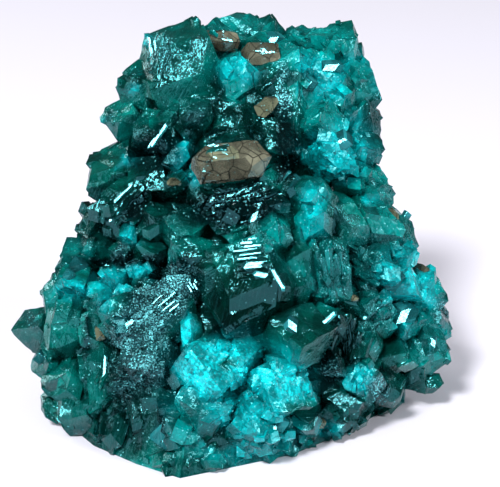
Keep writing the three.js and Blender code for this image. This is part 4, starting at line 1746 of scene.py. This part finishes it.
@dataclass(frozen=True)
class FloorFinish:
    """Plain pale finish of the floor."""

    colour: Rgba = (0.86, 0.84, 0.93, 1.0)
    roughness: float = 0.7

    def material(self) -> Material:
        """Makes the material."""
        material, _, shader = new_material("floor")
        shader.inputs["Base Color"].default_value = self.colour
        shader.inputs["Roughness"].default_value = self.roughness
        return material


@dataclass(frozen=True)
class Growth:
    """Where the next crystals grow: on rough and grainy patches, and seldom on smooth faces.

    Three numbers are a start, a part for grain and a part for the nearness of the foot.
    """

    crust: bool = False
    bare: float = 0.12
    foot_height: float = 7.0
    above_cut: Span = (0.3, 0.4)
    crust_grain: Span = (0.25, 0.6)
    crust_contrast: float = 1.5
    density: Triple = (-0.05, 1.6, 1.0)
    size: Triple = (1.2, -0.5, 0.4)
    unruliness: Triple = (-1.2, 2.5, 1.5)

    def amounts(self, height: np.ndarray, grain: np.ndarray) -> tuple[np.ndarray, ...]:
        """Gives the density, the size factor and the unruliness at some points.

        Args:
            height: The points' heights above the cut, in millimetres.
            grain: How grainy the surface is there, from 0 to 1.

        Returns:
            Densities from 0 to 1, size factors, and 0 for turned as the host to 1 for own turns.
        """
        above = unit((height - self.above_cut[0]) / self.above_cut[1])
        if self.crust:
            start, width = self.crust_grain
            density = unit((grain - start) / width) ** self.crust_contrast
            return density * above, np.ones(len(grain)), np.ones(len(grain))
        low = unit((self.foot_height - height) / self.foot_height)
        start, grainy, near = self.density
        density = self.bare + (1.0 - self.bare) * unit(grain * grainy + start + low * near)
        start, grainy, near = self.size
        size = start + grainy * unit(grain) + near * low
        start, grainy, near = self.unruliness
        return density * above, size, unit(grain * grainy + start + near * low)


def crystal_owners(
    mesh: Mesh, crystals: list[Solid], reach: float = 0.02, agreement: float = 0.995
) -> np.ndarray:
    """Finds the large crystal that each face of a joined mesh belongs to.

    Args:
        mesh: The joined mesh.
        crystals: The large crystals.
        reach: How far a crystal's face may be from the mesh's face, in millimetres.
        agreement: Least cosine of the angle between the two.

    Returns:
        The crystal's number for each face, or -1 for a face of none of them.
    """
    corners: list[Vector] = []
    faces: list[tuple[int, ...]] = []
    owner: list[int] = []
    for number, crystal in enumerate(crystals):
        one = crystal.mesh("owner")
        base = len(corners)
        corners += [vertex.co.copy() for vertex in one.vertices]
        faces += [tuple(base + corner for corner in face.vertices) for face in one.polygons]
        owner += [number] * len(one.polygons)
        bpy.data.meshes.remove(one)
    tree = BVHTree.FromPolygons(corners, faces)
    owners = np.full(len(mesh.polygons), -1)
    for face in mesh.polygons:
        _, normal, found, _ = tree.find_nearest(face.center, reach * MM)
        if found is not None and abs(normal.dot(face.normal)) > agreement:
            owners[face.index] = owner[found]
    return owners


def triangles(mesh: Mesh) -> int:
    """Returns the number of triangles of a mesh."""
    return sum(len(face.vertices) - 2 for face in mesh.polygons)


def lay_out(mesh: Mesh, axes: np.ndarray) -> None:
    """Lays each face out flat in millimetres, in the UV map ribs.

    Args:
        mesh: The mesh.
        axes: One direction, or one for each face, that the map's second axis follows.
    """
    normals = read_rows(mesh.polygons, "normal")
    side = np.cross(axes, normals)
    side /= np.linalg.norm(side, axis=1)[:, None] + TINY
    along = np.cross(normals, side)
    places = read_rows(mesh.vertices, "co")[loop_points(mesh)] / MM
    of_face = loop_faces(mesh)
    flat = [np.einsum("ij,ij->i", places, way[of_face]) for way in (side, along)]
    layer = mesh.uv_layers.new(name="ribs")
    layer.data.foreach_set("uv", np.column_stack(flat).astype(np.float32).ravel())


@dataclass(frozen=True)
class FacetChance:
    """A chance value from 0 to 1 for each face, which faces in one plane share."""

    plane_step: float = 0.05
    plane_factor: float = 0.618
    normal_factors: Triple = (127.1, 311.7, 74.7)
    steps: float = 40.0
    pace: float = 12.9898
    spread: float = 43758.5453

    def values(self, mesh: Mesh) -> np.ndarray:
        """Returns one value for each face of a mesh."""
        normals = read_rows(mesh.polygons, "normal")
        centres = read_rows(mesh.polygons, "center")
        height = np.einsum("ij,ij->i", normals, centres) / (self.plane_step * MM)
        mixed = normals @ np.array(self.normal_factors) + np.round(height) * self.plane_factor
        return (np.sin(np.round(mixed * self.steps) * self.pace) * self.spread) % 1.0


@dataclass(frozen=True)
class CreviceShadeOpenness:
    """How open each point lies, from 0 in a crevice to 1 on a ridge, by rays cast outwards; it sets the
    painted shade in crevices.
    """

    rays: int = 10
    reach: float = 6.0
    start: float = 0.03
    push: float = 1.02
    falloff: float = 0.5
    darkest: float = 0.15
    span: float = 0.75
    seed: int = 3

    def values(self, mesh: Mesh) -> np.ndarray:
        """Returns one value for each vertex of a mesh."""
        tree = search_tree(mesh)
        spread = np.random.default_rng(self.seed).normal(size=(self.rays, 3))
        spread /= np.linalg.norm(spread, axis=1)[:, None]
        headings = [Vector(heading) for heading in spread]
        values = np.empty(len(mesh.vertices))
        reach = self.reach * MM
        for index, vertex in enumerate(mesh.vertices):
            normal = vertex.normal
            start = vertex.co + normal * (self.start * MM)
            total = 0.0
            for heading in headings:
                aim = (heading + normal * self.push).normalized()
                distance = tree.ray_cast(start, aim, reach)[3]
                total += 1.0 if distance is None else (distance / reach) ** self.falloff
            values[index] = total / self.rays
        return unit((values - self.darkest) / self.span)


@dataclass(frozen=True)
class Lump:
    """The whole intergrown lump: large crystals, small ones on them, and the sugary crust."""

    stone: Material
    sugar: Material
    tones: ToneMap = ToneMap()
    small: Scatter = SMALL_CRYSTALS
    crust: Scatter = SUGAR_CRUST
    broken_corners: int = 6
    largest_broken: float = 4.0
    longest_edge: float = 1.2
    unevenness: float = 0.1
    stillness: float = 9.0
    sharp_angle: float = 20.0
    block_size: float = 200.0
    stray_turn: float = 0.7
    stray_axis: Triple = (0.31, 0.2, 0.93)

    def large_crystals(self) -> list[Solid]:
        """Returns the listed crystals, the ribs, the plates and the fringe of the foot."""
        placed: list[Solid] = []
        for row in PLACED:
            broken = self.broken_corners if row[3] < self.largest_broken else 0
            placed.append(Crystal.from_row(row, broken))
        foot = Foot()
        placed += [foot, *foot.fringe()]
        first = CrystalBody(placed).mesh("large", self.stone)
        surface = Surface(search_tree(first))
        for sheaf in SHEAVES:
            placed += sheaf.crystals(surface)
        placed += Plates().crystals(surface, self.tones.zones)
        bpy.data.meshes.remove(first)
        return placed

    def build(self) -> None:
        """Grows the lump, dresses it and hands its pieces to the frame."""
        placed = self.large_crystals()
        large = CrystalBody(placed).mesh("large_crystals", self.stone)
        LOG.info("large crystals: %d, triangles %d", len(placed), triangles(large))
        ground = fine_mesh(large, self.longest_edge * MM)
        self._prepare_growth(ground, Growth(), placed)
        body = combined(large, self.small.grow(ground, self.stone), Joining.UNION)
        LOG.info("with small crystals: triangles %d", triangles(body))
        body = self._cut_flat(body)
        self._dress(body, placed)
        self._add(body, "crystal_body")
        rough = body.copy()
        self._prepare_growth(rough, Growth(crust=True), placed)
        grains = self.crust.grow(rough, self.sugar)
        lay_out(grains, np.array(self.stray_axis))
        self._add(grains, "sugar_crust")
        LOG.info("grains: triangles %d", triangles(grains))

    def _prepare_growth(self, mesh: Mesh, growth: Growth, crystals: list[Solid]) -> None:
        """Writes how densely, how large and which way the next crystals grow on a mesh.

        Args:
            mesh: The mesh they grow on.
            growth: The rule of their growth.
            crystals: The large crystals, whose turn small ones on their faces share.
        """
        places = read_rows(mesh.vertices, "co")
        amounts = growth.amounts(places[:, 2] / MM, self.tones.rows(places)[:, GRAIN_COLUMN])
        owners = crystal_owners(mesh, crystals)
        plates = np.array([crystal.tone is not None for crystal in crystals])
        on_plate = ((owners >= 0) & plates[owners])[loop_faces(mesh)]
        amounts[0][loop_points(mesh)[on_plate]] = 0.0
        for name, values in zip(("growth", "swell", "unruly"), amounts):
            keep(mesh, name, values, "POINT")
        turns = np.array([crystal.place.to_euler() for crystal in crystals])
        hosts = np.where(owners[:, None] >= 0, turns[owners], self.stray_turn)
        keep(mesh, "host", hosts, "FACE", "FLOAT_VECTOR")

    def _cut_flat(self, mesh: Mesh) -> Mesh:
        """Takes away what hangs below the flat cut that the lump rests on."""
        work = bmesh.new()
        size = self.block_size * MM
        bmesh.ops.create_cube(work, size=size, matrix=Matrix.Translation((0.0, 0.0, -size / 2.0)))
        above = combined(mesh, plain_mesh(work, "under"), Joining.DIFFERENCE)
        return fine_mesh(above, self.longest_edge * MM)

    def _dress(self, mesh: Mesh, crystals: list[Solid]) -> None:
        """Writes the tones, the openness for the painted crevice shade, a chance value for each facet and
        the line directions.

        Args:
            mesh: The joined solid.
            crystals: The large crystals it was made from.
        """
        places = read_rows(mesh.vertices, "co")
        of_loop = loop_points(mesh)
        rows = self.tones.rows(places)[of_loop]
        owners = crystal_owners(mesh, crystals)
        own_axes = np.array([crystal.axis() for crystal in crystals])
        lay_out(mesh, np.where(owners[:, None] >= 0, own_axes[owners], self.stray_axis))
        owner_of_loop = owners[loop_faces(mesh)]
        for number, crystal in enumerate(crystals):
            if crystal.tone is not None:
                rows[owner_of_loop == number] = crystal.tone.value.row()
        colours = np.column_stack((rows[:, :3], np.ones(len(rows))))
        keep(mesh, "tone", colours, "CORNER", "FLOAT_COLOR")
        for name, values in zip(AMOUNTS, rows[:, 3:].T):
            keep(mesh, name, values, "CORNER")
        # Painted shade: the openness darkens the colour in crevices.
        keep(mesh, "crevice_shade_mask", CreviceShadeOpenness().values(mesh), "POINT")
        keep(mesh, "facet", FacetChance().values(mesh), "FACE")
        still = np.zeros(len(places))
        np.maximum.at(still, of_loop, np.minimum(rows[:, PALE_COLUMN] * self.stillness, 1.0))
        low = unit(places[:, 2] / MM)
        places += self.tones.swell(places) * (self.unevenness * MM * low * (1.0 - still))[:, None]
        mesh.vertices.foreach_set("co", places.ravel())
        mesh.shade_smooth()
        mesh.set_sharp_from_angle(angle=math.radians(self.sharp_angle))
        mesh.materials.clear()
        mesh.materials.append(self.stone)

    def _add(self, mesh: Mesh, name: str) -> None:
        """Puts a finished mesh in the scene as a piece of the lump."""
        mesh.name = name
        piece = linked(name, mesh)
        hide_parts(CAD_NODE)
        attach(piece, ROOT_BODY)


@dataclass(frozen=True)
class Studio:
    """Pale floor, soft lights, pale surroundings and the camera of the photographed view.

    Sizes are in metres, but those of the sensor and the photographed width in millimetres.
    """

    floor_size: float = 3.0
    key_power: float = 5.6
    key_size: float = 0.13
    key_distance: float = 0.7
    fill_size: float = 0.16
    fills: tuple[tuple[str, Triple, float], ...] = (
        ("left", (-0.9, -0.35, 0.35), 0.7),
        ("right", (0.85, -0.4, 0.5), 2.2),
        ("back", (-0.78, 0.6, 0.36), 1.2),
    )
    sensor: float = 36.0
    photographed_width: float = 50.0
    nearest: float = 0.01
    furthest: float = 10.0
    surroundings: Rgba = (0.95, 0.95, 1.0, 1.0)
    surroundings_strength: float = 0.34
    mirrored_strength: float = 0.05
    shown_strength: float = 0.39

    def build(self) -> None:
        """Builds the floor, the lights, the surroundings and the camera."""
        self._floor()
        self._light("key", Plates().light, self.key_power, self.key_size)
        for name, heading, power in self.fills:
            self._light(name, heading, power, self.fill_size)
        self._surroundings()
        self._camera()

    def _floor(self) -> None:
        """Lays the floor under the lump."""
        half = self.floor_size / 2.0
        mesh = bpy.data.meshes.new("floor")
        corners = [(-half, -half, 0.0), (half, -half, 0.0), (half, half, 0.0), (-half, half, 0.0)]
        mesh.from_pydata(corners, [], [(0, 1, 2, 3)])
        mesh.materials.append(FloorFinish().material())
        floor = linked("floor", mesh)

    def _light(self, name: str, heading: Triple, power: float, size: float) -> None:
        """Hangs a square soft light that faces the lump.

        Args:
            name: Name of the light.
            heading: Direction from the lump to the light.
            power: Its power in watts.
            size: Its side in metres.
        """
        data = bpy.data.lights.new(name, "AREA")
        data.energy = power
        data.size = size
        place = DISPLAY.middle() + Vector(heading).normalized() * self.key_distance
        light = linked(name, data)
        light.location = place
        light.rotation_euler = (DISPLAY.middle() - place).to_track_quat("-Z", "Y").to_euler()

    def _surroundings(self) -> None:
        """Makes the surroundings pale to look at and dim in mirroring faces."""
        world = bpy.data.worlds.new("surroundings")
        bpy.context.scene.world = world
        world.use_nodes = True
        tree = world.node_tree
        back = tree.nodes["Background"]
        back.inputs["Color"].default_value = self.surroundings
        rays = tree.nodes.new("ShaderNodeLightPath").outputs
        drop = self.mirrored_strength - self.surroundings_strength
        ramp = partial(math_node, tree, "MULTIPLY_ADD")
        strength = ramp(rays["Is Glossy Ray"], drop, self.surroundings_strength)
        strength = ramp(rays["Is Camera Ray"], self.shown_strength, strength)
        tree.links.new(strength, back.inputs["Strength"])

    def _camera(self) -> None:
        """Sets up the camera where the photograph was taken from."""
        data = bpy.data.cameras.new("camera")
        data.sensor_width = self.sensor
        data.lens = self.sensor * DISPLAY.distance / self.photographed_width
        data.clip_start = self.nearest
        data.clip_end = self.furthest
        camera = linked("camera", data)
        camera.location = DISPLAY.eye()
        aim = DISPLAY.middle() - DISPLAY.eye()
        camera.rotation_euler = aim.to_track_quat("-Z", "Y").to_euler()
        bpy.context.scene.camera = camera


def main() -> None:
    """Builds the lump and the studio."""
    logging.basicConfig(level=logging.INFO, stream=sys.stdout)
    bpy.context.scene.view_settings.view_transform = "Standard"
    groups = StoneGroups(CloudyStone().group(), GrainNormal().group(), GrowthLines().group())
    Lump(STONE.material(groups), SUGARY_STONE.material(groups)).build()
    Studio().build()


if __name__ == "__main__":
    main()
